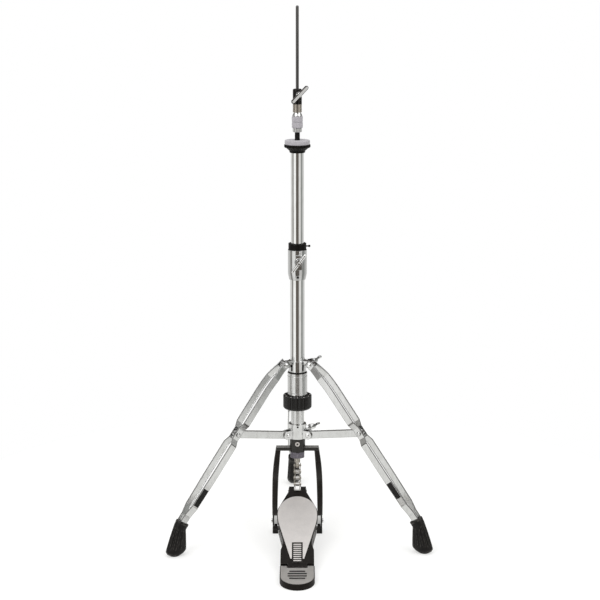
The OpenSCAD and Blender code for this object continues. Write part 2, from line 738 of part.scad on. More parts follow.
module brace_collar() color(chrome) at_azimuth(tripod_turn) difference() {
    lug_t = 3;
    union() {
        translate([0, 0, brace_bottom]) cylinder(r = collar_r, h = brace_top - brace_bottom);
        for (a = [90, 210, 330], side = [-1, 1])
            rotate([0, 0, a]) translate([0, side * (strut_t / 2 + gap + lug_t / 2), 0]) upright(lug_t)
                ear(strut_pivot_r, brace_pivot_z, 8.5, neck_r + 1.5);
        clamp_boss(brace_screw_z);
    }
    translate([0, 0, brace_bottom - 10]) cylinder(r = neck_r + fit, h = 60);
    // room for the end of each strut
    for (a = [90, 210, 330])
        rotate([0, 0, a]) translate([neck_r + 2.2, -strut_t / 2 - gap, brace_bottom - 1])
            cube([20, strut_t + 2 * gap, brace_ear_top - brace_bottom + 1]);
    for (a = [90, 210, 330])
        rotate([0, 0, a]) translate([strut_pivot_r, 0, brace_pivot_z]) rotate([90, 0, 0])
            cylinder(r = strut_pin_r, h = 40, center = true);
    clamp_boss_bore(brace_screw_z);
    // key screw hole at the front
    translate([0, -30, 217]) rotate([-90, 0, 0]) cylinder(r = 1.6, h = 14);
}

module brace_pins() color(chrome) at_azimuth(tripod_turn) for (a = [90, 210, 330])
    rotate([0, 0, a]) translate([strut_pivot_r, 0, brace_pivot_z]) rotate([90, 0, 0]) {
        lug_out = strut_t / 2 + gap + 3;
        cylinder(r = strut_pin_r - eps, h = 2 * lug_out + 1, center = true);
        for (side = [-1, 1]) scale([1, 1, side]) {
            translate([0, 0, lug_out]) cylinder(r = 4, h = 1);
            translate([0, 0, lug_out + 1]) cylinder(r1 = 4, r2 = 2.4, h = 1);
        }
    }

// Wing screw of a collar, its axis along +X at the given height
module collar_wing_screw(z, head_x, wing_turn) color(chrome) at_azimuth(screw_az) translate([0, 0, z]) {
    x_rod(collar_screw_r, lower_r + gap, head_x + 2);
    translate([head_x, 0, 0]) rotate([0, 90, 0]) rotate([0, 0, wing_turn]) wing_head(36, 6, 14, 4.4);
}

module leg_wing_screw() collar_wing_screw(leg_screw_z, 32, 48);

module brace_wing_screw() collar_wing_screw(brace_screw_z, 28, 56);

// ---- legs ----

// Slope, radius and height of a leg's middle line at a length l from the pivot
function leg_turn(l) = l < bend_len ? bend_start - (bend_start - leg_slope) * l / bend_len : leg_slope;
function bend_r(l) = leg_pivot_r + bend_radius * (cos(leg_turn(l)) - cos(bend_start));
function bend_z(l) = leg_pivot_z - bend_radius * (sin(bend_start) - sin(leg_turn(l)));
function past_bend(l) = max(0, l - bend_len);
function leg_r(l) = bend_r(min(l, bend_len)) + past_bend(l) * sin(leg_slope);
function leg_z(l) = bend_z(min(l, bend_len)) - past_bend(l) * cos(leg_slope);

// Half spacing of the strips along the leg
function ease(t) = (1 - cos(180 * max(0, min(1, t)))) / 2;
function blend(l, from, to, a, b) = a + (b - a) * ease((l - from) / (to - from));
function strip_s(l) =
    l < 60 ? blend(l, 8, 34, strip_top, strip_spread) :
    l < pinch_at ? blend(l, 139, 156, strip_spread, strip_close) :
    l < 250 ? blend(l, 174, 190, strip_close, strip_spread) :
    blend(l, 326, 350, strip_spread - 1.5 * ease((l - 250) / 76), strip_close);

// Rings of the strip's channel section: first the flat outer face, then the inner faces
strip_stations = concat([-7.5, 0, 8], [for (l = [14 : 7 : 70]) l], [100, 130], [for (l = [139 : 4 : 159]) l],
    [171], [for (l = [174 : 4 : 190]) l], [220, 250, 290, 315], [for (l = [326 : 6 : 350]) l], [leg_end_at]);
strip_edge = strip_w / 2;
strip_section = [
    [-strip_edge, 0], [strip_edge, 0], [strip_edge, -strip_depth], [strip_edge - strip_t, -strip_depth],
    [strip_edge - strip_t, -strip_t], [strip_t - strip_edge, -strip_t], [strip_t - strip_edge, -strip_depth],
    [-strip_edge, -strip_depth]
];

module strip(side) {
    n = len(strip_section);
    count = len(strip_stations);
    ring = side > 0 ? strip_section : [for (i = [n - 1 : -1 : 0]) strip_section[i]];
    points = [for (l = strip_stations, p = ring)
        let (a = leg_turn(max(l, 0)), dl = min(l, 0))
        [leg_r(max(l, 0)) + dl * sin(a) + p[0] * cos(a),
         side * (strip_s(l) + strip_t + p[1]),
         leg_z(max(l, 0)) - dl * cos(a) + p[0] * sin(a)]];
    side_faces = [for (i = [0 : count - 2], j = [0 : n - 1])
        let (k = (j + 1) % n)
        [i * n + j, (i + 1) * n + j, (i + 1) * n + k, i * n + k]];
    first_cap = [for (j = [0 : n - 1]) j];
    last_cap = [for (j = [0 : n - 1]) (count - 1) * n + n - 1 - j];
    polyhedron(points = points, faces = concat(side_faces, [first_cap], [last_cap]));
}

// Two strips with their rivet heads at the strut's pivot
module leg_strips(az) color(chrome) at_azimuth(az) for (side = [-1, 1]) {
    difference() {
        strip(side);
        translate([leg_pivot_r, 0, leg_pivot_z]) rotate([90, 0, 0])
            cylinder(r = leg_pin_r + fit, h = 40, center = true);
    }
    translate([leg_r(pinch_at), side * (strip_close + strip_t), leg_z(pinch_at)]) rotate([-90 * side, 0, 0]) {
        cylinder(r = 4.4, h = 1.4);
        translate([0, 0, 1.4]) cylinder(r1 = 4.4, r2 = 2.8, h = 1.2);
    }
}

module oval(half, side) scale([half, side, 1]) cylinder(r = 1, h = 1, $fn = 40);

module at_foot_rim() translate([foot_rim_at[0], 0, foot_rim_at[1]]) rotate([0, -foot_rim_tilt, 0]) children();

module foot(az) color(black) at_azimuth(az) difference() {
    // a small flat patch stands on the floor, below the outer half of the base
    hull() {
        translate([foot_r + 3, 0, 0]) oval(10, 9);
        translate([foot_r + 2, 0, 4]) oval(17, 12.5);
        translate([foot_r, 0, foot_base_z]) oval(foot_half, foot_side);
        for (at = [-9, 1])
            at_foot_rim() translate([0, 0, at]) oval(foot_rim[0], foot_rim[1]);
    }
    // pocket that holds the two strips
    translate([leg_r(leg_end_at), 0, leg_z(leg_end_at)]) rotate([0, -leg_slope, 0])
        translate([-strip_w / 2 - 0.1, -strip_close - strip_t - 0.1, -0.1])
            cube([strip_w + 0.2, 2 * (strip_close + strip_t) + 0.2, 60]);
}

module leg_left() leg_strips(leg_left_az);
module leg_right() leg_strips(leg_right_az);
module leg_rear() leg_strips(leg_rear_az);
module leg_left_foot() foot(leg_left_az);
module leg_right_foot() foot(leg_right_az);
module leg_rear_foot() foot(leg_rear_az);

// ---- struts ----

strut_run = leg_r(pinch_at) - strut_pivot_r;
strut_rise = leg_z(pinch_at) - brace_pivot_z;
strut_len = sqrt(strut_run * strut_run + strut_rise * strut_rise);
strut_pitch = atan2(strut_rise, strut_run);

// Channel bar with round ends, open underneath between its pivots
module strut(az) color(chrome) at_azimuth(az)
    translate([strut_pivot_r, 0, brace_pivot_z]) rotate([0, -strut_pitch, 0]) difference() {
        upright(strut_t) {
            circle(r = strut_h / 2);
            translate([strut_len, 0]) circle(r = strut_h / 2);
            translate([0, -strut_h / 2]) square([strut_len, strut_h]);
        }
        for (x = [0, strut_len])
            translate([x, 0, 0]) rotate([90, 0, 0]) cylinder(r = strut_pin_r + fit, h = 20, center = true);
        translate([12, -strut_t / 2 + 1.5, -strut_h]) cube([strut_len - 24, strut_t - 3, strut_h + 5.4]);
    }

module strut_left() strut(leg_left_az);
module strut_right() strut(leg_right_az);
module strut_rear() strut(leg_rear_az);

// ---- what is drawn ----

lower_tube();
tube_bushing();
height_clamp();
clamp_bolt();
spring_housing();
column_neck();
yoke();
hub_screw();
guide_nut();
base_brackets();
pivot_bolts();
yoke_feet();
base_plate();
heel_plate();
heel_inlay();
hinge_pin();
return_spring();
footboard();
footboard_inlay();
grip_plate();
toe_bolt();
chain_plates();
chain_rollers();
chain_pins();
pull_rod_lower();
pull_rod_upper();
rod_coupler();
spring_collar();
rod_connector();
upper_tube();
memory_lock();
memory_lock_bolt();
seat_cup();
seat_felt();
seat_sleeve();
clutch_body();
clutch_tube();
clutch_barrel();
clutch_washer();
clutch_felts();
clutch_nut();
clutch_wing_screw();
clamp_wing_nut();
tension_dial();
brace_collar();
brace_pins();
brace_wing_screw();
leg_collar();
leg_pins();
leg_wing_screw();
leg_left();
leg_left_foot();
leg_right();
leg_right_foot();
leg_rear();
leg_rear_foot();
strut_left();
strut_right();
strut_rear();
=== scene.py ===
"""Looks of the hi-hat stand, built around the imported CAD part.

Shapes are drawn in millimetres about the column's axis, with z = 0 on the floor. AT_POST places them.
"""

import json
import math

import bmesh
import bpy
from mathutils import Matrix, Vector, noise

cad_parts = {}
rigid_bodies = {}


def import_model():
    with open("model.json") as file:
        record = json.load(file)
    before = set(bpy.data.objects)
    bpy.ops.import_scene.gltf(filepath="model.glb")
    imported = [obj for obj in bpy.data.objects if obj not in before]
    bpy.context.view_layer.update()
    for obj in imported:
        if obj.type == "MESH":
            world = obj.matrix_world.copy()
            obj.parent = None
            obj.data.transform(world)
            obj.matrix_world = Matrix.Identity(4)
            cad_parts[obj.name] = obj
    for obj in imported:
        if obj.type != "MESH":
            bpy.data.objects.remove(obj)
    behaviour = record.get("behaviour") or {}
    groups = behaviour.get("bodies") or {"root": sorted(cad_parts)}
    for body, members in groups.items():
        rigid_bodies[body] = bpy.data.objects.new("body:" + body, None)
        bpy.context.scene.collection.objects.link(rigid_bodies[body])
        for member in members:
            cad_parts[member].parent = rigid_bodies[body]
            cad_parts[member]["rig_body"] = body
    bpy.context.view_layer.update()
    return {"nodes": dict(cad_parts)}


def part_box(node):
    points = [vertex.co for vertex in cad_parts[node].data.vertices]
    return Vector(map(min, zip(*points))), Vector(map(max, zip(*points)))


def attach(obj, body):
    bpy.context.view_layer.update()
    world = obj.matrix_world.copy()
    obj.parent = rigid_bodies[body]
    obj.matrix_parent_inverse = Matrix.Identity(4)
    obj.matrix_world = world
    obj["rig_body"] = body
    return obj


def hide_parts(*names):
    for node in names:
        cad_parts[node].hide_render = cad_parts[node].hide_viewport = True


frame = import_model()

MM = 0.001
TAU = 2 * math.pi
tube_low, tube_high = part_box("lower_tube")
POST = Vector(((tube_low.x + tube_high.x) / 2, (tube_low.y + tube_high.y) / 2, 0))
AT_POST = Matrix.Translation(POST) @ Matrix.Scale(MM, 4)


def extent(node):
    """Lowest and highest corner of a CAD node, in millimetres about the column."""
    low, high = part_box(node)
    return (low - POST) / MM, (high - POST) / MM


def measures(node):
    """Bottom, top and half width of a CAD node; the half width is the radius of a turned one."""
    low, high = extent(node)
    return low.z, high.z, (high.x - low.x) / 2


def radius_of(node):
    return measures(node)[2]


class Nodes:
    """A node tree with short ways to add and join its nodes."""

    def __init__(self, tree):
        self.tree = tree

    def add(self, kind, **settings):
        node = self.tree.nodes.new(kind)
        for key, value in settings.items():
            setattr(node, key, value)
        return node

    def feed(self, value, socket):
        """Links another node's output to the socket, or sets the socket to a plain value."""
        if isinstance(value, bpy.types.NodeSocket):
            self.tree.links.new(value, socket)
        else:
            socket.default_value = value

    def axes(self, vector):
        node = self.add("ShaderNodeSeparateXYZ")
        self.feed(vector, node.inputs[0])
        return node.outputs

    def computed(self, operation, a, b):
        node = self.add("ShaderNodeMath", operation=operation)
        self.feed(a, node.inputs[0])
        self.feed(b, node.inputs[1])
        return node.outputs[0]

    def spread(self, source, low, high, start=0.35, end=0.65, curve="LINEAR"):
        """Takes a pattern from start..end to low..high."""
        node = self.add("ShaderNodeMapRange", interpolation_type=curve)
        for key, value in (("From Min", start), ("From Max", end), ("To Min", low), ("To Max", high)):
            node.inputs[key].default_value = value
        self.feed(source, node.inputs["Value"])
        return node.outputs[0]

    def mixed(self, mask, under, over):
        """One colour, and another over it where the mask is 1."""
        node = self.add("ShaderNodeMix", data_type="RGBA")
        for key, value in (("Factor", mask), ("A", under), ("B", (*over, 1))):
            self.feed(value, node.inputs[key])
        return node.outputs["Result"]


# ---- camera, light and floor ----

# Metres from the foot of the column, degrees downwards, and millimetres of lens and sensor
CAMERA_BACK = 3.0
CAMERA_UP = 1.15
CAMERA_ASIDE = 0.0051
CAMERA_PITCH = 12.75
CAMERA_LENS = 94.56
CAMERA_SENSOR = 36


def make_camera():
    data = bpy.data.cameras.new("camera")
    data.lens = CAMERA_LENS
    data.sensor_width = CAMERA_SENSOR
    camera = bpy.data.objects.new("camera", data)
    camera.location = (POST.x + CAMERA_ASIDE, POST.y - CAMERA_BACK, CAMERA_UP)
    camera.rotation_euler = (math.radians(90 - CAMERA_PITCH), 0, 0)
    bpy.context.scene.collection.objects.link(camera)
    bpy.context.scene.camera = camera


# Colours of the room by compass angle: 0 is towards the camera and 90 is +X
ROOM_BANDS = [
    (-180, (0.95, 0.94, 0.92)),
    (-125, (0.75, 0.75, 0.74)),
    (-101, (0.74, 0.74, 0.72)),
    (-88, (0.30, 0.29, 0.27)),
    (-74, (0.18, 0.17, 0.16)),
    (-63, (1.05, 1.05, 1.03)),
    (-27, (1.10, 1.10, 1.08)),
    (-21, (0.085, 0.070, 0.058)),
    (-6, (0.17, 0.15, 0.13)),
    (6, (0.13, 0.115, 0.10)),
    (18, (0.09, 0.078, 0.068)),
    (27, (0.80, 0.79, 0.77)),
    (57, (0.84, 0.83, 0.81)),
    (65, (0.27, 0.28, 0.265)),
    (88, (0.34, 0.35, 0.335)),
    (102, (0.60, 0.60, 0.59)),
    (180, (0.95, 0.94, 0.92)),
]
# Where the back wall and the roof fade in, as parts of a ray's direction
WALL_ABOVE, WALL_BEHIND = (0.03, 0.11), (0.15, 0.55)
ROOF_ABOVE = (0.42, 0.72)
WALL_COLOUR = (0.10, 0.092, 0.085)
ROOF_COLOUR = (1.25, 1.25, 1.25)


def make_sky():
    """White to the camera. The metal sees soft boxes with gaps, a dark back wall and a bright roof."""
    world = bpy.data.worlds.new("studio")
    bpy.context.scene.world = world
    world.use_nodes = True
    world.node_tree.nodes.clear()
    sky = Nodes(world.node_tree)
    x, y, z = sky.axes(sky.add("ShaderNodeTexCoord").outputs["Generated"])
    angle = sky.computed("ARCTAN2", x, sky.computed("MULTIPLY", y, -1))
    ramp = sky.add("ShaderNodeValToRGB")
    sky.feed(sky.spread(angle, 0, 1, -math.pi, math.pi), ramp.inputs[0])
    stops = ramp.color_ramp.elements
    while len(stops) < len(ROOM_BANDS):
        stops.new(0.5)
    for stop, (compass, colour) in zip(stops, ROOM_BANDS):
        stop.position = (compass + 180) / 360
        stop.color = (*colour, 1)
    on_wall = sky.computed("MULTIPLY", sky.spread(z, 0, 1, *WALL_ABOVE), sky.spread(y, 0, 1, *WALL_BEHIND))
    on_roof = sky.spread(z, 0, 1, *ROOF_ABOVE, "SMOOTHSTEP")
    room = sky.mixed(on_roof, sky.mixed(on_wall, ramp.outputs["Color"], WALL_COLOUR), ROOF_COLOUR)
    choose = sky.add("ShaderNodeMixShader")
    sky.feed(sky.add("ShaderNodeLightPath").outputs["Is Camera Ray"], choose.inputs[0])
    for colour, socket in ((room, choose.inputs[1]), ((1, 1, 1, 1), choose.inputs[2])):
        glow = sky.add("ShaderNodeBackground")
        sky.feed(colour, glow.inputs["Color"])
        sky.feed(glow.outputs[0], socket)
    sky.feed(choose.outputs[0], sky.add("ShaderNodeOutputWorld").inputs["Surface"])


LIGHT_AIM = (0, 0, 0.45)


def make_light(name, place, size, power):
    data = bpy.data.lights.new(name, "AREA")
    data.shape = "RECTANGLE"
    data.size, data.size_y = size
    data.energy = power
    lamp = bpy.data.objects.new(name, data)
    lamp.location = POST + Vector(place)
    aim = POST + Vector(LIGHT_AIM)
    lamp.rotation_euler = (aim - lamp.location).to_track_quat("-Z", "Y").to_euler()
    bpy.context.scene.collection.objects.link(lamp)


FLOOR_RADIUS = 0.8
FLOOR_PAINT = (0.52, 0.52, 0.52)
FLOOR_IN_METAL = (0.35, 0.35, 0.335)
FLOOR_GLOW = (1, 1, 0.985)


def make_floor():
    """A floor that glows up to white. The metal's reflections see a darker paint, as away from the lamps."""
    shape = bmesh.new()
    bmesh.ops.create_circle(shape, cap_ends=True, radius=FLOOR_RADIUS, segments=96)
    mesh = bpy.data.meshes.new("floor")
    shape.to_mesh(mesh)
    shape.free()
    floor = bpy.data.objects.new("floor", mesh)
    floor.location = (POST.x, POST.y, 0)
    bpy.context.scene.collection.objects.link(floor)
    light = {"Emission_Color": (*FLOOR_GLOW, 1), "Emission_Strength": 0.50}
    paint = Finish("floor_paint", FLOOR_PAINT, 0.7, Specular_IOR_Level=0.2, **light)
    paint.tint(paint.add("ShaderNodeLightPath").outputs["Is Glossy Ray"], FLOOR_IN_METAL)
    mesh.materials.append(paint.material)


# ---- finishes ----


class Finish(Nodes):
    """A procedural material whose patterns are laid out in each object's own frame."""

    def __init__(self, name, colour, roughness, metallic=0.0, **constants):
        self.material = bpy.data.materials.new(name)
        self.material.use_nodes = True
        super().__init__(self.material.node_tree)
        self.shader = self.tree.nodes["Principled BSDF"]
        self.place = self.add("ShaderNodeTexCoord").outputs["Object"]
        self.shader.inputs["Base Color"].default_value = (*colour, 1)
        self.shader.inputs["Roughness"].default_value = roughness
        self.shader.inputs["Metallic"].default_value = metallic
        for socket, value in constants.items():
            self.shader.inputs[socket.replace("_", " ")].default_value = value

    def noise(self, size_mm, detail=3.0, stretch=(1, 1, 1)):
        """Noise whose patches are about size_mm across, drawn out along the axes by stretch."""
        mapping = self.add("ShaderNodeMapping")
        mapping.inputs["Scale"].default_value = [1 / s for s in stretch]
        self.feed(self.place, mapping.inputs["Vector"])
        texture = self.add("ShaderNodeTexNoise")
        texture.inputs["Scale"].default_value = 1 / (size_mm * MM)
        texture.inputs["Detail"].default_value = detail
        self.feed(mapping.outputs[0], texture.inputs["Vector"])
        return texture.outputs["Fac"]

    def tint(self, mask, other):
        """Mixes another colour over the present one where the mask is 1."""
        socket = self.shader.inputs["Base Color"]
        under = socket.links[0].from_socket if socket.links else socket.default_value
        self.feed(self.mixed(mask, under, other), socket)

    def mottle(self, other, amount, size_mm, detail=3.0, stretch=(1, 1, 1), reach=(0.35, 0.65)):
        """Another colour in patches of this size. Reach is where in the noise they fade in."""
        self.tint(self.spread(self.noise(size_mm, detail, stretch), 0, amount, *reach), other)

    def shine(self, source, low, high):
        self.feed(self.spread(source, low, high), self.shader.inputs["Roughness"])

    def relief(self, source, depth_mm, strength=1.0):
        """Adds a bump of this depth on top of the bumps made so far."""
        node = self.add("ShaderNodeBump")
        node.inputs["Distance"].default_value = depth_mm * MM
        node.inputs["Strength"].default_value = strength
        self.feed(source, node.inputs["Height"])
        socket = self.shader.inputs["Normal"]
        if socket.links:
            self.feed(socket.links[0].from_socket, node.inputs["Normal"])
        self.feed(node.outputs["Normal"], socket)

    def rim(self, amount=1.0):
        """A mask that is there on rounded edges only."""
        edge = self.add("ShaderNodeAttribute", attribute_name="edge").outputs["Fac"]
        return self.spread(edge, 0, amount, 0.3, 0.6)

    def painted_top_light(self, amount):
        """A mask on level faces that look up, where a painted light goes."""
        normal = self.axes(self.add("ShaderNodeNewGeometry").outputs["True Normal"])
        return self.spread(normal["Z"], 0, amount, 0.85, 0.98)

    def wear(self, other, amount):
        """Rubs the finish through on the rounded edges, in patches."""
        patches = self.spread(self.noise(3.5, 4), 0, amount, 0.42, 0.62)
        self.tint(self.computed("MULTIPLY", self.rim(), patches), other)


def chrome_finish(name, wave_mm, wave_depth, dull=(0.03, 0.09), tone=1.0, line=0.0):
    """Plated steel in waves of this width and depth. Sheet and castings have a tone under 1.

    Line is how dark the rounded edges are painted, a painted reflection of the dark gaps of the room.
    """

    def shade(*colour):
        return tuple(tone * c for c in colour)

    made = Finish(name, shade(0.85, 0.855, 0.855), dull[0], 1.0)
    made.mottle(shade(0.77, 0.77, 0.76), 0.5, 28)
    made.mottle(shade(0.62, 0.62, 0.60), 0.35, 5, 4, (1, 1, 3), reach=(0.48, 0.7))
    made.mottle(shade(0.60, 0.59, 0.57), 0.3, 2.2, 5, reach=(0.6, 0.8))
    made.shine(made.noise(17, 4), *dull)
    made.relief(made.noise(wave_mm, 1), wave_depth, 0.7)
    made.relief(made.noise(0.35, 2, (1, 1, 14)), 0.002, 0.4)
    # Painted reflection: the rounded edges are painted near black, as if they mirrored the room's dark gaps
    if line:
        made.tint(made.rim(line), (0.03, 0.027, 0.025))
    return made.material


def black_cast_finish(name, rough, level, coat, top=0.0):
    """Black enamel on a casting. Top is how much painted light the faces that look up get."""
    gloss = {"Specular_IOR_Level": level, "Coat_Weight": coat, "Coat_Roughness": 0.16}
    made = Finish(name, (0.0075, 0.006, 0.005), rough[0], **gloss)
    made.mottle((0.014, 0.0115, 0.0095), 0.5, 9, 4)
    made.shine(made.noise(4, 4), *rough)
    made.relief(made.noise(0.9, 3), 0.05, 0.5)
    made.relief(made.noise(7, 2), 0.12, 0.3)
    made.wear((0.10, 0.094, 0.088), 0.5)
    # Painted light: faces that look up are painted lighter, as if they caught the light from above
    if top:
        made.tint(made.painted_top_light(top), (0.30, 0.295, 0.28))
    return made.material


def black_plastic_finish(name, coat=0.0):
    gloss = {"Specular_IOR_Level": 0.10, "Coat_Weight": coat, "Coat_Roughness": 0.12}
    made = Finish(name, (0.004, 0.0034, 0.003), 0.40, **gloss)
    made.mottle((0.009, 0.008, 0.007), 0.4, 6, 4)
    made.shine(made.noise(2.5, 3), 0.34, 0.52)
    made.relief(made.noise(0.5, 2), 0.03, 0.5)
    made.wear((0.035, 0.033, 0.031), 0.7)
    return made.material


def rubber_finish():
    made = Finish("rubber", (0.004, 0.0034, 0.003), 0.5, Specular_IOR_Level=0.2)
    made.mottle((0.013, 0.011, 0.0095), 0.6, 11, 5, reach=(0.4, 0.7))
    made.shine(made.noise(3, 3), 0.34, 0.56)
    made.relief(made.noise(0.6, 4), 0.06, 0.6)
    made.wear((0.075, 0.07, 0.064), 0.7)
    return made.material


def felt_finish():
    made = Finish("felt", (0.46, 0.445, 0.475), 0.95, Sheen_Weight=0.3, Sheen_Roughness=0.5)
    made.mottle((0.415, 0.40, 0.43), 0.7, 2.6, 5)
    made.mottle((0.66, 0.63, 0.69), 0.5, 0.5, 2, (6, 1, 1), reach=(0.55, 0.75))
    made.relief(made.noise(0.45, 4, (3, 1, 1)), 0.18, 0.8)
    made.relief(made.noise(0.4, 4, (1, 3, 1)), 0.15, 0.7)
    return made.material


def satin_finish(name, colour, rough, grain=(1, 14, 1)):
    made = Finish(name, colour, rough[0], 1.0)
    made.mottle(tuple(c * 0.9 for c in colour), 0.5, 14, 4)
    made.mottle(tuple(min(1, c * 1.15) for c in colour), 0.4, 0.9, 3, reach=(0.55, 0.75))
    made.shine(made.noise(1.6, 4, grain), *rough)
    made.relief(made.noise(0.3, 3, grain), 0.012, 0.6)
    return made.material


def plated_finish(name, colour, patches, rubbed, rough=(0.2, 0.36)):
    """A coloured plating, with a second tone in patches and a third where it is rubbed."""
    made = Finish(name, colour, rough[0], 1.0)
    made.mottle(patches, 0.6, 6, 4)
    made.shine(made.noise(3, 4), *rough)
    made.relief(made.noise(0.6, 3), 0.01, 0.5)
    made.wear(rubbed, 0.7)
    return made.material


def chain_finish():
    made = Finish("chain_steel", (0.52, 0.49, 0.45), 0.25, 1.0)
    made.mottle((0.25, 0.225, 0.18), 0.85, 4, 4)
    made.shine(made.noise(2, 4), 0.16, 0.4)
    made.relief(made.noise(0.8, 3), 0.02, 0.5)
    made.wear((0.72, 0.70, 0.66), 0.6)
    return made.material


def rod_finish():
    made = Finish("rod_steel", (0.14, 0.138, 0.135), 0.08, 1.0)
    made.mottle((0.12, 0.118, 0.116), 0.5, 20, 4)
    made.shine(made.noise(5, 4, (1, 1, 6)), 0.06, 0.14)
    made.relief(made.noise(0.4, 2, (1, 1, 12)), 0.004, 0.5)
    return made.material


def decal_finish():
    made = Finish("decal", (0.006, 0.0058, 0.0055), 0.22, Specular_IOR_Level=0.25)
    made.mottle((0.014, 0.0135, 0.013), 0.4, 5, 4)
    made.shine(made.noise(3, 3), 0.16, 0.34)
    return made.material


FINISHES = {
    # In the chrome finishes a fifth number paints the rounded edges dark, a painted reflection of the room's
    # gaps
    "chrome": chrome_finish("chrome", 60, 0.03),
    "cast_chrome": chrome_finish("cast_chrome", 7, 0.10, (0.05, 0.14), 0.86, 0.45),
    "wing_chrome": chrome_finish("wing_chrome", 9, 0.06, (0.06, 0.12), 0.9, 0.95),
    "wing_satin": chrome_finish("wing_satin", 9, 0.03, (0.20, 0.28), 1.05, 1.0),
    "clamp_chrome": chrome_finish("clamp_chrome", 14, 0.10, (0.12, 0.20), 0.76, 0.6),
    "housing_chrome": chrome_finish("housing_chrome", 9, 0.05, (0.16, 0.26), 0.84, 0.5),
    "strip_chrome": chrome_finish("strip_chrome", 24, 0.07, (0.14, 0.22), 0.83, 0.75),
    "strut_chrome": chrome_finish("strut_chrome", 40, 0.03, (0.13, 0.20), 0.81, 0.9),
    "black_cast": black_cast_finish("black_cast", (0.26, 0.42), 0.25, 0.45, top=0.8),
    "board_black": black_cast_finish("board_black", (0.42, 0.58), 0.10, 0.0),
    "black_plastic": black_plastic_finish("black_plastic"),
    "dial_black": black_plastic_finish("dial_black", coat=0.5),
    "rubber": rubber_finish(),
    "felt": felt_finish(),
    "satin": satin_finish("satin_silver", (0.74, 0.71, 0.69), (0.48, 0.60)),
    "heel_satin": satin_finish("heel_satin", (0.60, 0.58, 0.555), (0.42, 0.55)),
    "plate": satin_finish("plate_steel", (0.60, 0.60, 0.59), (0.25, 0.4)),
    "dark_nickel": plated_finish(
        "dark_nickel", (0.20, 0.185, 0.215), patches=(0.13, 0.12, 0.145), rubbed=(0.5, 0.48, 0.5)
    ),
    "clutch_black": plated_finish(
        "clutch_black", (0.030, 0.028, 0.027), patches=(0.018, 0.017, 0.016), rubbed=(0.3, 0.3, 0.3)
    ),
    "warm_nickel": plated_finish(
        "warm_nickel", (0.40, 0.365, 0.32), (0.30, 0.27, 0.23), (0.7, 0.68, 0.65), rough=(0.26, 0.4)
    ),
    "chain": chain_finish(),
    "roller": satin_finish("roller_steel", (0.80, 0.79, 0.77), (0.12, 0.25), (1, 1, 1)),
    "rod": rod_finish(),
    "spring": satin_finish("spring_steel", (0.35, 0.35, 0.36), (0.2, 0.35)),
    "decal": decal_finish(),
}

# ---- shape tools, in millimetres ----

# In degrees: bends that are shaded as one smooth face, CAD edges that get rounded, and bends that start
# and complete the mark of an edge, which gives both its wear and its painted dark reflection on chrome
SMOOTH_UNDER = 38
SHARP_OVER = 30
WEAR_AND_SHADE_FROM, WEAR_AND_SHADE_FULL = 10, 35


def skin(shape, a, b):
    """Joins two closed rings of vertices; a ring of one vertex is a tip."""
    if len(a) == 1 and len(b) == 1:
        return
    count = max(len(a), len(b))
    for i in range(count):
        k = (i + 1) % count
        if len(a) == 1:
            corners = [a[0], b[k], b[i]]
        elif len(b) == 1:
            corners = [a[i], a[k], b[0]]
        else:
            corners = [a[i], a[k], b[k], b[i]]
        shape.faces.new(corners)


def loft(rings, caps=True, closed=False):
    """A skin over rings of points, closed at its ends with flat caps."""
    shape = bmesh.new()
    rows = [[shape.verts.new(p) for p in ring] for ring in rings]
    for a, b in zip(rows, rows[1:]):
        skin(shape, a, b)
    if closed:
        skin(shape, rows[-1], rows[0])
    elif caps:
        if len(rows[0]) > 2:
            shape.faces.new(rows[0][::-1])
        if len(rows[-1]) > 2:
            shape.faces.new(rows[-1])
    return shape


def lathe(profile, steps=96, closed=True, swell=None):
    """Turns (radius, height) points about Z. swell(angle, radius, height) may move each point in or out."""

    def ring(radius, height):
        if radius < 1e-6:
            return [(0, 0, height)]
        points = []
        for i in range(steps):
            angle = TAU * i / steps
            r = swell(angle, radius, height) if swell else radius
            points.append((r * math.cos(angle), r * math.sin(angle), height))
        return points

    return loft([ring(*p) for p in profile], caps=False, closed=closed)


def rounded(points, cut, closed=True, steps=3):
    """The same outline with its corners rounded off."""
    out = []
    count = len(points)
    for i, point in enumerate(points):
        here = Vector(point)
        if not closed and i in (0, count - 1):
            out.append(tuple(here))
            continue
        before, after = Vector(points[i - 1]) - here, Vector(points[(i + 1) % count]) - here
        size = min(cut, 0.48 * before.length, 0.48 * after.length)
        start, end = here + before.normalized() * size, here + after.normalized() * size
        for k in range(steps + 1):
            t = k / steps
            out.append(tuple((1 - t) ** 2 * start + 2 * t * (1 - t) * here + t * t * end))
    return out


def inset(outline, by):
    """Moves a counter-clockwise outline inwards."""
    out = []
    for i, point in enumerate(outline):
        here = Vector(point)
        u = (here - Vector(outline[i - 1])).normalized()
        v = (Vector(outline[(i + 1) % len(outline)]) - here).normalized()
        side = Vector((-u.y, u.x))
        across = (side + Vector((-v.y, v.x))).normalized()
        out.append(here + across * by / max(0.5, across.dot(side)))
    return out


def slab(outline, bottom, top, edge, steps=3):
    """An outline drawn in x and y, made thick along z, with rounded rims."""
    levels = []
    for k in range(steps + 1):
        turn = math.pi / 2 * k / steps
        levels.append((edge * (1 - math.sin(turn)), edge * (1 - math.cos(turn))))
    rings = [[(p.x, p.y, bottom + rise) for p in inset(outline, by)] for by, rise in levels]
    rings += [[(p.x, p.y, top - rise) for p in inset(outline, by)] for by, rise in reversed(levels)]
    return loft(rings)


def rectangle(x0, x1, y0, y1, cut):
    return rounded([(x0, y0), (x1, y0), (x1, y1), (x0, y1)], cut)


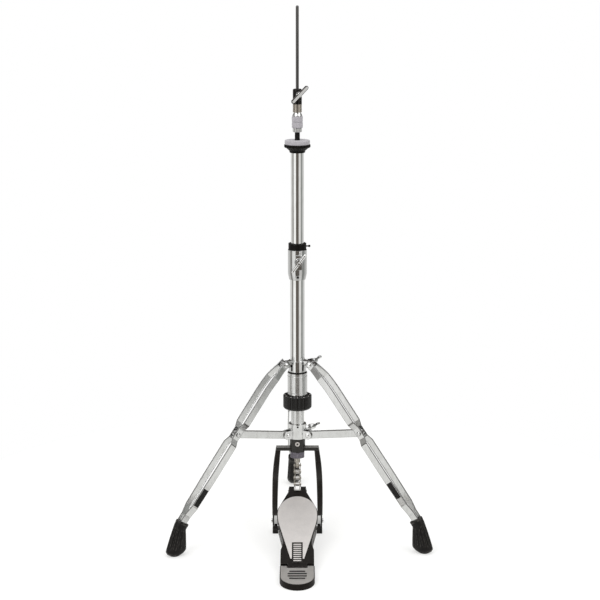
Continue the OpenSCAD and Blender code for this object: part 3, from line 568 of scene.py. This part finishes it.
def pill(length, radius, steps=10):
    """A straight bar's outline along x with round ends."""
    out = []
    for centre, start in ((length / 2 - radius, -90), (radius - length / 2, 90)):
        for k in range(steps + 1):
            angle = math.radians(start + 180 * k / steps)
            out.append((centre + radius * math.cos(angle), radius * math.sin(angle)))
    return out


def moved(shape, *steps):
    """Applies placing matrices, the last one first."""
    whole = Matrix.Identity(4)
    for step in steps:
        whole = whole @ step
    shape.transform(whole)
    return shape


def shift(x=0.0, y=0.0, z=0.0):
    return Matrix.Translation((x, y, z))


def turned(angle, axis="Z"):
    return Matrix.Rotation(math.radians(angle), 4, axis)


def merged(*shapes):
    whole = bmesh.new()
    for shape in shapes:
        part = bpy.data.meshes.new("part")
        shape.to_mesh(part)
        shape.free()
        whole.from_mesh(part)
        bpy.data.meshes.remove(part)
    return whole


def mark_edges(mesh, shape):
    """Stores how strongly each vertex sits on a rounded outer edge, for wear and for the painted dark
    reflection on chrome edges.
    """
    strength = []
    for vertex in shape.verts:
        bend = 0.0
        for line in vertex.link_edges:
            if len(line.link_faces) == 2 and line.is_convex:
                bend = max(bend, line.calc_face_angle(0.0))
        wear_and_shade = (math.degrees(bend) - WEAR_AND_SHADE_FROM) / (WEAR_AND_SHADE_FULL - WEAR_AND_SHADE_FROM)
        strength.append(min(1.0, max(0.0, wear_and_shade)))
    mesh.attributes.new("edge", "FLOAT", "POINT").data.foreach_set("value", strength)


def piece(name, shape, body, finish, *stands_for, smooth=SMOOTH_UNDER):
    """Makes the drawn shape an object of the stand that rides on a CAD body."""
    shape.transform(AT_POST)
    bmesh.ops.recalc_face_normals(shape, faces=shape.faces)
    mesh = bpy.data.meshes.new(name)
    shape.to_mesh(mesh)
    mark_edges(mesh, shape)
    shape.free()
    mesh.polygons.foreach_set("use_smooth", [True] * len(mesh.polygons))
    mesh.set_sharp_from_angle(angle=math.radians(smooth))
    mesh.materials.append(FINISHES[finish])
    made = bpy.data.objects.new(name, mesh)
    bpy.context.scene.collection.objects.link(made)
    flat = made.modifiers.new("flat faces stay flat", "WEIGHTED_NORMAL")
    flat.keep_sharp = True
    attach(made, body)
    if stands_for:
        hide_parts(*stands_for)
    return made


def body_of_node(node):
    return frame["nodes"][node]["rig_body"]


def stand_in(node, shape, finish, **settings):
    """A piece that takes the place of one CAD node and rides where it rides."""
    return piece(node + "_look", shape, body_of_node(node), finish, node, **settings)


def refined(node, edge, finish):
    """The CAD node's own shape with its sharp edges rounded."""
    shape = bmesh.new()
    shape.from_mesh(frame["nodes"][node].data)
    shape.transform(AT_POST.inverted())
    bmesh.ops.remove_doubles(shape, verts=shape.verts, dist=0.004)
    bmesh.ops.dissolve_limit(
        shape,
        angle_limit=math.radians(0.7),
        verts=shape.verts,
        edges=shape.edges,
        use_dissolve_boundaries=False,
    )
    folds = [line for line in shape.edges if len(line.link_faces) == 2]
    lines = [line for line in folds if line.calc_face_angle(0.0) > math.radians(SHARP_OVER)]
    bmesh.ops.bevel(
        shape,
        geom=lines,
        offset=edge,
        offset_type="OFFSET",
        segments=3,
        profile=0.5,
        affect="EDGES",
        clamp_overlap=False,
    )
    return stand_in(node, shape, finish)


def tube_of(node, wall, finish, edge=0.3, steps=96):
    """A plain tube in the place of a CAD node."""
    low, high, r = measures(node)
    outline = [(r - wall, low), (r, low), (r, high), (r - wall, high)]
    return stand_in(node, lathe(rounded(outline, edge), steps), finish)


def threaded(radius, bottom, top, pitch=1.2, depth=0.35, tip=0.8):
    """Profile of a threaded rod from the axis out: ridges between two chamfered ends."""
    profile = [(0, bottom), (radius - tip, bottom)]
    count = max(1, int((top - bottom - 2 * tip) / pitch))
    step = (top - bottom - 2 * tip) / count
    for i in range(count):
        z = bottom + tip + i * step
        profile += [(radius - depth, z), (radius, z + step / 2)]
    return profile + [(radius - depth, top - tip), (radius - tip, top), (0, top)]


# ---- column ----

CLAMP_KEY_AT = (1, -17.0, 520)
HOUSING_GROOVE = 0.7
HOUSING_LIP = 1.9


def key_hole_shade(radius):
    """Painted shade in the mouth of a drum key's hole: a dark disc that faces the camera."""
    return moved(lathe([(0, 0), (radius, 0), (radius, 0.4), (0, 0.4)], 24, closed=False), turned(90, "X"))


def make_column():
    tube_of("lower_tube", 1.2, "chrome")
    tube_of("upper_tube", 1.2, "chrome")
    tube_of("column_neck", 1.8, "housing_chrome")
    tube_of("tube_bushing", 1.5, "black_plastic")
    low, high, r = measures("spring_housing")
    bore, floor, lip = radius_of("lower_tube"), r - HOUSING_GROOVE, r - HOUSING_LIP
    outline = [(bore, low), (r - 0.8, low), (r, low + 0.8)]
    for z in (low + 5, high - 9):
        outline += [(r, z), (floor, z + 0.3), (floor, z + 1.2), (r, z + 1.5)]
    outline += [(r, high - 2.4), (lip, high - 2.2), (lip, high), (bore, high)]
    stand_in("spring_housing", lathe(rounded(outline, 0.25, steps=2)), "housing_chrome")
    # Painted shade: a black ring in the step at the top of the housing stands for the dark groove there
    inner, outer, bottom, top = lip - 0.3, lip + 0.4, high - 2.1, high - 0.1
    shade_ring = lathe([(inner, bottom), (outer, bottom), (outer, top), (inner, top)])
    piece("housing_shade_ring", shade_ring, "base", "black_plastic")
    refined("height_clamp", 0.7, "clamp_chrome")
    # Painted shade: a dark disc for the inside of the clamp's drum key hole
    piece("clamp_key_hole_shade", moved(key_hole_shade(1.7), shift(*CLAMP_KEY_AT)), "base", "black_plastic")
    near, far = extent("clamp_bolt")
    stud = lathe(threaded(3, 0, far.y - near.y), 32, closed=False)
    place = shift((near.x + far.x) / 2, near.y, (near.z + far.z) / 2)
    stand_in("clamp_bolt", moved(stud, place, turned(-90, "X")), "chrome")
    refined("memory_lock", 0.7, "black_plastic")
    refined("memory_lock_bolt", 0.3, "black_plastic")


DIAL_RIBS = 30
DIAL_RIB_DEPTH = 0.9
DIAL_MARKS = 12


def make_dial():
    low, top, r = measures("tension_dial")
    bore = radius_of("column_neck") + 0.1
    outline = [(bore, low), (r - 3.2, low), (r, low + 3.2), (r, top - 1.2), (r - 1.6, top)]
    outline += [(r - 4.5, top), (r - 5, top - 2.2), (bore + 5.5, top - 2.2), (bore + 5, top), (bore, top)]

    def ribs(angle, radius, height):
        outside = max(0.0, min(1.0, (radius - (r - 3.5)) / 2.5))
        wave = math.cos(DIAL_RIBS * angle)
        return radius - outside * DIAL_RIB_DEPTH * max(0.0, wave) ** 1.5

    dial = lathe(rounded(outline, 1.6, steps=4), DIAL_RIBS * 10, swell=ribs)
    stand_in("tension_dial", dial, "dial_black")
    marks = []
    for i in range(DIAL_MARKS):
        block = slab(rectangle(r - 4.2, r - 1.9, -1.3, 1.3, 0.4), top - 0.3, top + 0.05, 0.1, 1)
        marks.append(moved(block, turned(360 * i / DIAL_MARKS)))
    piece("dial_marks", merged(*marks), "tension_dial", "satin")


ROD_MARK_Z = 888
ROD_MARK_DEPTH = 0.3


def make_rods():
    low, high, r = measures("pull_rod_upper")
    mark, cut = ROD_MARK_Z, r - ROD_MARK_DEPTH
    profile = [(0, low), (r, low), (r, mark), (cut, mark + 0.2), (cut, mark + 0.9), (r, mark + 1.1)]
    profile += [(r * math.cos(a), high - r + r * math.sin(a)) for a in (0, 0.4, 0.8, 1.15)]
    profile.append((0, high))
    stand_in("pull_rod_upper", lathe(profile, 48, closed=False), "rod")
    low, high, r = measures("pull_rod_lower")
    profile = rounded([(0, low), (r, low), (r, high), (0, high)], 0.6, closed=False)
    stand_in("pull_rod_lower", lathe(profile, 48, closed=False), "rod")
    for node, wall in (("rod_coupler", 3), ("spring_collar", 7)):
        tube_of(node, wall, "rod", 0.5, 48)
    refined("rod_connector", 0.5, "chain")


# ---- seat and clutch ----

CUP_RIBS = 24
CUP_RIB_DEPTH = 1.1
CUP_NECK = 15.0
NUT_GRIPS = 24
NUT_GRIP_DEPTH = 0.4
FELT_UNEVEN = 0.28
FELT_SEED = Vector((3.1, 7.7, 1.3))


def felt_disc(outer, bore, bottom, top, crown):
    """A pressed felt washer: crowned sides, soft rims, and a slightly uneven surface."""
    half = (top - bottom) / 2
    middle = (top + bottom) / 2
    sides = []
    for k in range(11):
        angle = math.radians(-90 + 18 * k)
        bulge = abs(math.cos(angle)) ** 0.45
        sides.append((outer - crown + crown * bulge, middle + half * math.sin(angle)))
    inner = [(outer * 0.8, top), (outer * 0.55, top), (bore + 0.6, top), (bore, top - 0.6)]
    inner += [(bore, bottom + 0.6), (bore + 0.6, bottom), (outer * 0.55, bottom), (outer * 0.8, bottom)]

    def uneven(angle, radius, height):
        spot = Vector((radius * math.cos(angle), radius * math.sin(angle), height))
        rim = max(0.0, (radius - bore) / (outer - bore))
        return radius + rim * FELT_UNEVEN * noise.noise(spot * 0.55 + FELT_SEED)

    return lathe(sides + inner, 144, swell=uneven)


def make_seat():
    low, top, rim = measures("seat_cup")
    neck, plug = CUP_NECK, radius_of("upper_tube") - 1.3
    rim_low, cone_low = top - 6, top - 15
    outline = [(5, low), (plug, low), (plug, cone_low - 1)]
    outline += [(neck - 1, cone_low - 1), (neck, cone_low), (neck + 0.4, cone_low + 3)]
    outline += [(22, rim_low - 0.4), (rim - 1.2, rim_low), (rim, rim_low + 1.4)]
    outline += [(rim, top - 1), (rim - 1.2, top), (5, top)]

    def ribs(angle, radius, height):
        outside = max(0.0, min(1.0, (radius - neck - 0.5) / 4))
        return radius - outside * CUP_RIB_DEPTH * (0.5 + 0.5 * math.cos(CUP_RIBS * angle)) ** 2

    cup = lathe(rounded(outline, 0.9), CUP_RIBS * 10, swell=ribs)
    stand_in("seat_cup", cup, "black_plastic")
    low, high, r = measures("seat_felt")
    disc = felt_disc(r, 5.2, low, high, 1.3)
    stand_in("seat_felt", disc, "felt")
    low, high = measures("seat_sleeve")[:2]
    stud = threaded(5, low, high, 1.25, 0.4)[1:-1]
    bore = [(3.4, high), (3.4, low)]
    stand_in("seat_sleeve", lathe(stud + bore, 64), "black_plastic")


def make_clutch():
    low, high, r = measures("clutch_nut")

    def knurl(angle, radius, height):
        outside = max(0.0, min(1.0, (radius - r + 1.2) / 1.0))
        return radius - outside * NUT_GRIP_DEPTH * max(0.0, math.cos(NUT_GRIPS * angle))

    outline = [(5, low), (r - 1, low), (r, low + 1), (r, high - 1), (r - 1, high), (5, high)]
    nut = lathe(rounded(outline, 0.4), NUT_GRIPS * 10, swell=knurl)
    stand_in("clutch_nut", nut, "cast_chrome")
    low, high, r = measures("clutch_felts")
    middle = (low + high) / 2
    for side, bottom, top in (("lower", low, middle - 0.1), ("upper", middle + 0.1, high)):
        disc = felt_disc(r, 5, bottom, top, 0.9)
        stands_for = ["clutch_felts"] if side == "lower" else []
        piece(f"clutch_felt_{side}", disc, "clutch", "felt", *stands_for)
    low, high = measures("clutch_washer")[:2]
    outline = [(5, low), (9.6, low), (9.6, low + 0.9), (7.8, high - 2.4), (7.6, high), (5, high)]
    stand_in("clutch_washer", lathe(rounded(outline, 0.4)), "cast_chrome")
    low, high, r = measures("clutch_barrel")
    waist = (low + high) / 2
    outline = [(5, low), (r, low), (r, waist - 0.7), (r - 0.6, waist - 0.4), (r - 0.6, waist + 0.4)]
    outline += [(r, waist + 0.7), (r, high), (5, high)]
    stand_in("clutch_barrel", lathe(rounded(outline, 0.35)), "warm_nickel")
    low, high = measures("clutch_tube")[:2]
    stud = threaded(5, low, high, 1.0, 0.3, 0.5)[1:-1]
    bore = [(3.1, high), (3.1, low)]
    stand_in("clutch_tube", lathe(stud + bore, 64), "chrome")
    refined("clutch_body", 0.5, "clutch_black")


# ---- wing screws ----

BAR_BOTTOM, BAR_THICK = 3.5, 6


def wing_head(span, hub, height, thick):
    """Cast wings with round tips on a turned hub; the base is at z = 0 and the axis is +Z."""
    tip = span * 0.12
    centre = span / 2 - tip
    rise = height * 0.95
    wing = [(-hub * 0.2, 0.6), (centre * 0.7, rise - tip * 0.95)]
    for k in range(9):
        angle = math.radians(-70 + 22 * k)
        wing.append((centre + tip * math.cos(angle), rise + tip * math.sin(angle)))
    wing += [(centre * 0.6, height * 0.86), (-hub * 0.2, height * 0.8)]
    halves = []
    for side in (0, 180):
        blade = slab(wing, -thick / 2, thick / 2, thick * 0.42, 4)
        halves.append(moved(blade, turned(side), turned(90, "X")))
    profile = [(0, 0), (hub, 0), (hub, 1.6), (hub * 0.86, height * 0.8)]
    profile += [(hub * 0.6, height * 1.02), (0, height * 1.05)]
    return merged(lathe(rounded(profile, 1.2, closed=False), 48, closed=False), *halves)


def bar_head(span, width, hub, edge, steps):
    """A round-ended bar across a turned hub; the base is at z = 0 and the axis is +Z."""
    bottom, top = BAR_BOTTOM, BAR_BOTTOM + BAR_THICK
    outline = []
    for k in range(25):
        angle = math.radians(-90 + 7.5 * k)
        outline.append(((span - width) / 2 + width / 2 * math.cos(angle), width / 2 * math.sin(angle)))
    outline += [(-x, -y) for x, y in outline]
    profile = rounded([(0, 0), (hub, 0), (hub * 0.82, top - 0.3), (0, top - 0.3)], 0.9, closed=False)
    return merged(lathe(profile, 48, closed=False), slab(outline, bottom, top, edge, steps))


TRIPOD_TURN = 1.8
SCREW_AZIMUTH = 30 + TRIPOD_TURN
CLUTCH_SCREW_AT = (0, -14.3, 872)
LEG_SCREW_Z = 343
BRACE_SCREW_Z = 208


def make_wings():
    head = moved(bar_head(44, 7.6, 5.5, edge=1.7, steps=3), turned(45))
    shank = moved(lathe(threaded(2.5, 0, 11), 32, closed=False), shift(z=-10.8))
    shape = moved(merged(head, shank), turned(13), shift(*CLUTCH_SCREW_AT), turned(90, "X"))
    piece("clutch_wing_look", shape, "clutch_wing_screw", "wing_satin", "clutch_wing_screw")
    low, high = extent("clamp_wing_nut")
    place = shift((low.x + high.x) / 2, high.y, (low.z + high.z) / 2)
    shape = moved(bar_head(45, 5.6, 7, edge=2.5, steps=7), place, turned(90, "X"), turned(54))
    piece("clamp_wing_look", shape, "clamp_wing_nut", "wing_satin", "clamp_wing_nut")
    screws = (("leg_wing_screw", LEG_SCREW_Z, 32, 48), ("brace_wing_screw", BRACE_SCREW_Z, 28, 56))
    for node, height, reach, turn in screws:
        head = moved(wing_head(36, 6, 14, 4.4), shift(reach), turned(90, "Y"), turned(turn))
        shank = moved(lathe(threaded(3, 0, reach - 13), 32, closed=False), shift(14.8), turned(90, "Y"))
        shape = moved(merged(head, shank), turned(SCREW_AZIMUTH), shift(z=height))
        stand_in(node, shape, "wing_chrome")
    bush = lathe(rounded([(3.1, 22.8), (5.6, 22.8), (5.6, 31.6), (3.1, 31.6)], 0.5), 48)
    bush = moved(bush, turned(SCREW_AZIMUTH), shift(z=LEG_SCREW_Z), turned(90, "Y"))
    piece("leg_wing_bush", bush, "leg_wing_screw", "black_plastic")


# ---- collars, struts, legs and feet ----

LEG_AZIMUTHS = {"left": 210 + TRIPOD_TURN, "right": 330 + TRIPOD_TURN, "rear": 90 + TRIPOD_TURN}
PIVOT_R, PIVOT_Z = 31, 345
BEND_START, SLOPE, BEND_LENGTH = 53, 38, 71
BEND_RADIUS = BEND_LENGTH / math.radians(BEND_START - SLOPE)
PINCH_AT, LEG_END = 165.4, 371
STRIP_W, STRIP_T, STRIP_DEPTH = 14, 1.5, 2.8
STRIP_START = -7.5
SPREAD, CLOSE, TOP_HALF = 13.5, 6.5, 8
# Lengths from the pivot between which the two strips part or come together
TOP_FLARE, PINCH_IN, PINCH_OUT, FOOT_CLOSE = (8, 34), (141, 154), (176, 188), (328, 348)
CREASES = TOP_FLARE + PINCH_IN + PINCH_OUT + FOOT_CLOSE
TAPER_START, TAPER_LENGTH, TAPER = 250, 76, 1.5
# Only the slow bend along a leg is shaded smooth; its creases and rolled corners stay crisp
STRIP_SMOOTH = 9
# The dark ring between the leg collar and the tube: radii and heights
LINER_R, LINER_Z = (14.36, 14.6), (331.6, 343.4)
# The labels: which leg, which of its strips, and where they start and end along it
LABELS = (("left", 1, 287, 325), ("right", -1, 276, 311))
BRACE_KEY_AT = (0, -17.1, 217)


def leg_slope(along):
    return BEND_START - (BEND_START - SLOPE) * min(max(along, 0), BEND_LENGTH) / BEND_LENGTH


def leg_point(along):
    """Radius and height of the leg's middle line at this length from the pivot."""
    bent = min(max(along, 0), BEND_LENGTH)
    turn, start = math.radians(leg_slope(bent)), math.radians(BEND_START)
    r = PIVOT_R + BEND_RADIUS * (math.cos(turn) - math.cos(start))
    z = PIVOT_Z - BEND_RADIUS * (math.sin(start) - math.sin(turn))
    past = along - bent
    return r + past * math.sin(turn), z - past * math.cos(turn)


def ease(t):
    return (1 - math.cos(math.pi * max(0.0, min(1.0, t)))) / 2


def between(along, start, end, a, b):
    return a + (b - a) * max(0.0, min(1.0, (along - start) / (end - start)))


def strip_half(along):
    """Half the distance between the two strips of a leg."""
    if along < TOP_FLARE[1]:
        return between(along, *TOP_FLARE, TOP_HALF, SPREAD)
    if along < PINCH_AT:
        return between(along, *PINCH_IN, SPREAD, CLOSE)
    if along < TAPER_START:
        return between(along, *PINCH_OUT, CLOSE, SPREAD)
    return between(along, *FOOT_CLOSE, SPREAD - TAPER * ease((along - TAPER_START) / TAPER_LENGTH), CLOSE)


def strip_section():
    """Channel section: x across the strip, y outward; its corners are rolled."""
    half, wall, depth = STRIP_W / 2, STRIP_T, STRIP_DEPTH
    inner = half - wall
    corners = [(-half, 0), (half, 0), (half, -depth), (inner, -depth)]
    corners += [(inner, -wall), (-inner, -wall), (-inner, -depth), (-half, -depth)]
    return rounded(corners, 1.2)


def strip(side, start=STRIP_START, end=LEG_END, section=None, lift=0.0):
    """One strip of a leg, drawn in the leg's own plane with x outward and z up."""
    section = section or strip_section()
    creases = [c for c in CREASES if start < c < end]
    count = max(2, int((end - start) / 4))
    places = [start + (end - start) * i / count for i in range(count + 1)]
    places = [p for p in places if min((abs(p - c) for c in creases), default=9) > 1.2] + creases
    rings = []
    for along in sorted(places):
        r, z = leg_point(along)
        turn = math.radians(leg_slope(along))
        out = strip_half(along) + STRIP_T + lift
        ring = []
        for x, y in section:
            ring.append((r + x * math.cos(turn), side * (out + y), z + x * math.sin(turn)))
        rings.append(ring)
    return loft(rings)


def rivet(radius, height):
    profile = [(0, 0), (radius, 0), (radius, height * 0.45)]
    for a in (0.35, 0.75, 1.15):
        profile.append((radius * math.cos(a) * 0.98, height * (0.45 + 0.55 * math.sin(a))))
    return lathe(profile + [(0, height)], 40, closed=False)


FOOT_R = 275
# The foot's lowest ovals: shift outwards, height, half length and half width
FOOT_LOW = [
    (3, 0, 9.2, 8.2), (3, 0.5, 10.0, 9.0), (2, 4.5, 16.9, 12.4), (0.8, 8, 19.9, 13.7), (0, 10.5, 20.7, 14.1),
]
# The rim's middle, its tilt, its half length and half width, and its levels with how much wider each is
RIM_AT, RIM_TILT, RIM_HALF = (260.5, 63.2), 32, (13.4, 12.2)
RIM_LEVELS = [
    (-9, -0.5), (-6, -0.45), (-3.6, -0.45), (-3.1, 0), (1.2, 0),
    (1.8, -0.4), (2.0, -1.0), (1.7, -1.6), (0.6, -2.0),
]
FLUTES = 12
FLUTE_DEPTH = 1.6


def boot():
    """A rubber boot with shallow flutes: an oval base on the floor, drawn up into a tilted rim."""
    steps = 128
    tilt = math.radians(RIM_TILT)

    def oval(centre_x, centre_z, along, across, lean, groove=0.0):
        ring = []
        for i in range(steps):
            angle = TAU * i / steps
            cut = groove * max(0.0, math.cos(FLUTES * angle)) ** 0.6
            x, y = (along - cut) * math.cos(angle), (across - cut) * math.sin(angle)
            ring.append((centre_x + x * math.cos(lean), y, centre_z + x * math.sin(lean)))
        return ring

    rings = [oval(FOOT_R + dx, z, along, across, 0) for dx, z, along, across in FOOT_LOW]
    base = FOOT_LOW[-1]
    neck_at, neck_in = RIM_LEVELS[0]
    neck_x = RIM_AT[0] - neck_at * math.sin(tilt)
    neck_z = RIM_AT[1] + neck_at * math.cos(tilt)
    levels = 32
    for level in range(1, levels):
        t = level / levels
        along = base[2] + (RIM_HALF[0] + neck_in - base[2]) * t
        across = base[3] + (RIM_HALF[1] + neck_in - base[3]) * t
        groove = FLUTE_DEPTH * ease((t - 0.06) / 0.1) * (1 - ease((t - 0.82) / 0.12))
        place = FOOT_R + (neck_x - FOOT_R) * t, base[1] + (neck_z - base[1]) * t
        rings.append(oval(*place, along, across, tilt * t, groove))
    for at, wider in RIM_LEVELS:
        place = RIM_AT[0] - at * math.sin(tilt), RIM_AT[1] + at * math.cos(tilt)
        rings.append(oval(*place, RIM_HALF[0] + wider, RIM_HALF[1] + wider, tilt))
    return loft(rings)


def make_tripod():
    refined("leg_collar", 0.45, "cast_chrome")
    refined("brace_collar", 0.45, "cast_chrome")
    # Painted shade: a dark disc for the inside of the brace collar's drum key hole
    hole_shade = moved(key_hole_shade(1.5), turned(TRIPOD_TURN), shift(*BRACE_KEY_AT))
    piece("brace_key_hole_shade", hole_shade, body_of_node("brace_collar"), "black_plastic")
    (inner, outer), (low, high) = LINER_R, LINER_Z
    liner = lathe([(inner, low), (outer, low), (outer, high), (inner, high)])
    piece("collar_liner", liner, "leg_collar", "black_plastic")
    refined("leg_pins", 0.3, "chrome")
    refined("brace_pins", 0.3, "chrome")
    pinch_r, pinch_z = leg_point(PINCH_AT)
    for name, azimuth in LEG_AZIMUTHS.items():
        parts = []
        for side in (-1, 1):
            parts.append(strip(side))
            face = shift(pinch_r, side * (CLOSE + STRIP_T), pinch_z)
            parts.append(moved(rivet(4.4, 2.6), face, turned(-90 * side, "X")))
        leg = moved(merged(*parts), turned(azimuth))
        stand_in(f"leg_{name}", leg, "strip_chrome", smooth=STRIP_SMOOTH)
        piece(f"leg_{name}_boot", moved(boot(), turned(azimuth)), f"leg_{name}", "rubber", f"leg_{name}_foot")
        refined(f"strut_{name}", 0.6, "strut_chrome")
    plate = rounded([(-5.6, 0), (5.6, 0), (5.6, 0.25), (-5.6, 0.25)], 0.1, steps=2)
    for name, side, start, end in LABELS:
        label = strip(side, start, end, plate, 0.02)
        piece(f"leg_{name}_label", moved(label, turned(LEG_AZIMUTHS[name])), f"leg_{name}", "decal")


# ---- yoke, base and pedal ----


def box_ring(centre, across, half_across, half_deep, cut):
    """A rounded rectangle around a point: one side along the direction across, the other along y."""
    ring = []
    for x, y in rectangle(-half_across, half_across, -half_deep, half_deep, cut):
        spot = Vector(centre) + Vector(across) * x + Vector((0, 1, 0)) * y
        ring.append(tuple(spot))
    return ring


HUB_R = 15.6
HUB_BOTTOM = 163
HUB_SCREW_Z = 182
BAR_Z, BAR_HALF_DEEP = 168.5, 8
# Along the crossbar: place, half its height and how much is trimmed off its depth
BAR_LINE = [
    (-42.8, 2.7, 1.0), (-42.2, 3.4, 0.2), (-41, 3.5, 0), (-20, 3.5, 0), (0, 3.7, 0), (20, 3.5, 0),
    (41, 3.5, 0), (42.2, 3.4, 0.2), (42.8, 2.7, 1.0),
]
# Middle line of the right yoke arm, with half its width
ARM_LINE = [
    (45, -19, 36.5, 5.2), (44.9, -14.6, 66, 5.6), (44.2, -9, 100, 5.9), (43.2, -7, 120, 6),
    (41.6, -5, 139, 5.9), (39.6, -2.4, 157, 5.3), (38.2, -0.8, 169, 4.9),
]
FLANGE = [(-25.3, 13.2), (-12.7, 13.2), (-12.7, 38), (-25.3, 38)]
FLANGE_ASIDE = 48.2


def curve_through(points, steps):
    """Smooth points through the given ones."""
    knots = [Vector(p) for p in points]
    knots = [2 * knots[0] - knots[1]] + knots + [2 * knots[-1] - knots[-2]]
    out = []
    for i in range(1, len(knots) - 2):
        a, b, c, d = knots[i - 1 : i + 3]
        square, cube = 2 * a - 5 * b + 4 * c - d, 3 * b - a - 3 * c + d
        for k in range(steps):
            t = k / steps
            out.append(0.5 * (2 * b + (c - a) * t + square * t ** 2 + cube * t ** 3))
    return out + [knots[-2]]


def make_yoke():
    top = measures("yoke")[1]
    bottom, seat = HUB_BOTTOM, radius_of("column_neck") + 0.1
    outline = [(7.5, bottom), (HUB_R - 1, bottom), (HUB_R, bottom + 1), (HUB_R, top - 1), (HUB_R - 1, top)]
    outline += [(seat, top), (seat, top - 3), (7.5, top - 3)]
    parts = [lathe(rounded(outline, 0.8))]
    bar = []
    for x, half, trim in BAR_LINE:
        bar.append(box_ring((x, 0, BAR_Z), (0, 0, 1), half, BAR_HALF_DEEP - trim, 1.4))
    parts.append(loft(bar))
    for side in (-1, 1):
        line = curve_through([(side * x, y, z, half) for x, y, z, half in ARM_LINE], 6)
        rings = []
        for i, spot in enumerate(line):
            ahead = line[min(i + 1, len(line) - 1)] - line[max(i - 1, 0)]
            across = Vector((ahead.z, 0, -ahead.x)).normalized()
            rings.append(box_ring(spot.xyz, across, spot.w, 6.4, 1.8))
        parts.append(loft(rings))
        flange = slab(rounded(FLANGE, 5, steps=5), -1.4, 1.4, 0.5)
        parts.append(moved(flange, shift(side * FLANGE_ASIDE), turned(90, "Z"), turned(90, "X")))
    stand_in("yoke", merged(*parts), "black_cast")
    refined("hub_screw", 0.3, "satin")
    # Painted shade: a thin black hexagon on the hub screw's head stands for its dark socket
    corners = [(2.0 * math.cos(TAU * k / 6), 2.0 * math.sin(TAU * k / 6)) for k in range(6)]
    socket = moved(slab(corners, 0, 0.3, 0.05, 1), shift(0, -HUB_R - 2.2, HUB_SCREW_Z), turned(90, "X"))
    piece("hub_screw_socket_shade", socket, "base", "black_plastic")


def make_guide_nut():
    low, high = measures("guide_nut")[:2]
    top, bore, corner = HUB_BOTTOM, 3.6, 16
    half_flats = corner * math.cos(math.radians(30))

    def hexagon(angle, radius, height):
        flat = (angle + math.radians(30)) % math.radians(60) - math.radians(30)
        return min(radius, half_flats / math.cos(flat))

    outline = [(bore, low), (13.2, low), (14.6, low + 0.4), (corner, low + 1.3)]
    outline += [(corner, top - 0.1), (bore, top)]
    nut = lathe(rounded(outline, 0.2, steps=2), 180, swell=hexagon)
    spigot = lathe([(bore, top), (7.4, top), (7.4, high), (bore, high)], 64)
    stand_in("guide_nut", merged(nut, spigot), "dark_nickel")


GRIP_LENGTHS = (30, 36, 36, 30)
GRIP_START_Y, GRIP_STEP = -257, 11


def make_base():
    refined("base_brackets", 0.6, "cast_chrome")
    refined("pivot_bolts", 0.4, "chrome")
    refined("yoke_feet", 0.9, "rubber")
    refined("base_plate", 0.5, "plate")
    refined("heel_plate", 0.7, "board_black")
    refined("heel_inlay", 0.2, "heel_satin")
    refined("hinge_pin", 0.4, "chrome")
    top = measures("heel_inlay")[1]
    ribs = []
    for i, length in enumerate(GRIP_LENGTHS):
        rib = slab(pill(length, 2.0), top - 0.1, top + 0.9, 0.4)
        ribs.append(moved(rib, shift(y=GRIP_START_Y - GRIP_STEP * i)))
    piece("heel_grips", merged(*ribs), "base", "rubber")


# The footboard's hinge and slope, and its grip ribs along it from there
HINGE_AT, BOARD_SLOPE = (0, -234, 9.2), 17.45
RIB_COUNT, RIB_START, RIB_STEP, RIB_WIDE = 9, 13.6, 6, 2.8


def make_footboard():
    refined("footboard", 0.8, "board_black")
    refined("footboard_inlay", 0.25, "satin")
    on_board = shift(*HINGE_AT), turned(BOARD_SLOPE, "X")
    plate = slab(rectangle(-9.5, 9.5, 9.1, 68.9, 0.8), 5.0, 5.8, 0.25, 2)
    stand_in("grip_plate", moved(plate, *on_board), "board_black")
    ribs = []
    for i in range(RIB_COUNT):
        start = RIB_START + RIB_STEP * i
        ribs.append(slab(rectangle(-7.5, 7.5, start, start + RIB_WIDE, 0.8), 5.6, 6.55, 0.4, 2))
    piece("grip_ribs", moved(merged(*ribs), *on_board), "footboard", "satin")
    refined("toe_bolt", 0.4, "chrome")


# ---- chain and spring ----


def make_chain():
    refined("chain_plates", 0.35, "chain")
    refined("chain_rollers", 0.4, "roller")
    refined("chain_pins", 0.3, "chain")


def finish_spring():
    """The CAD spring stays as it is inside the housing, and gets a finish."""
    materials = frame["nodes"]["return_spring"].data.materials
    materials.clear()
    materials.append(FINISHES["spring"])


make_camera()
make_sky()
make_light("key", (-1.6, -2.2, 2.4), (1.4, 1.4), 26)
make_light("fill", (2.0, -1.2, 1.6), (1.2, 1.8), 12)
make_floor()
make_column()
make_dial()
make_rods()
make_seat()
make_clutch()
make_wings()
make_tripod()
make_yoke()
make_guide_nut()
make_base()
make_footboard()
make_chain()
finish_spring()

scene = bpy.context.scene
scene.view_settings.view_transform = "Standard"
scene.view_settings.look = "None"
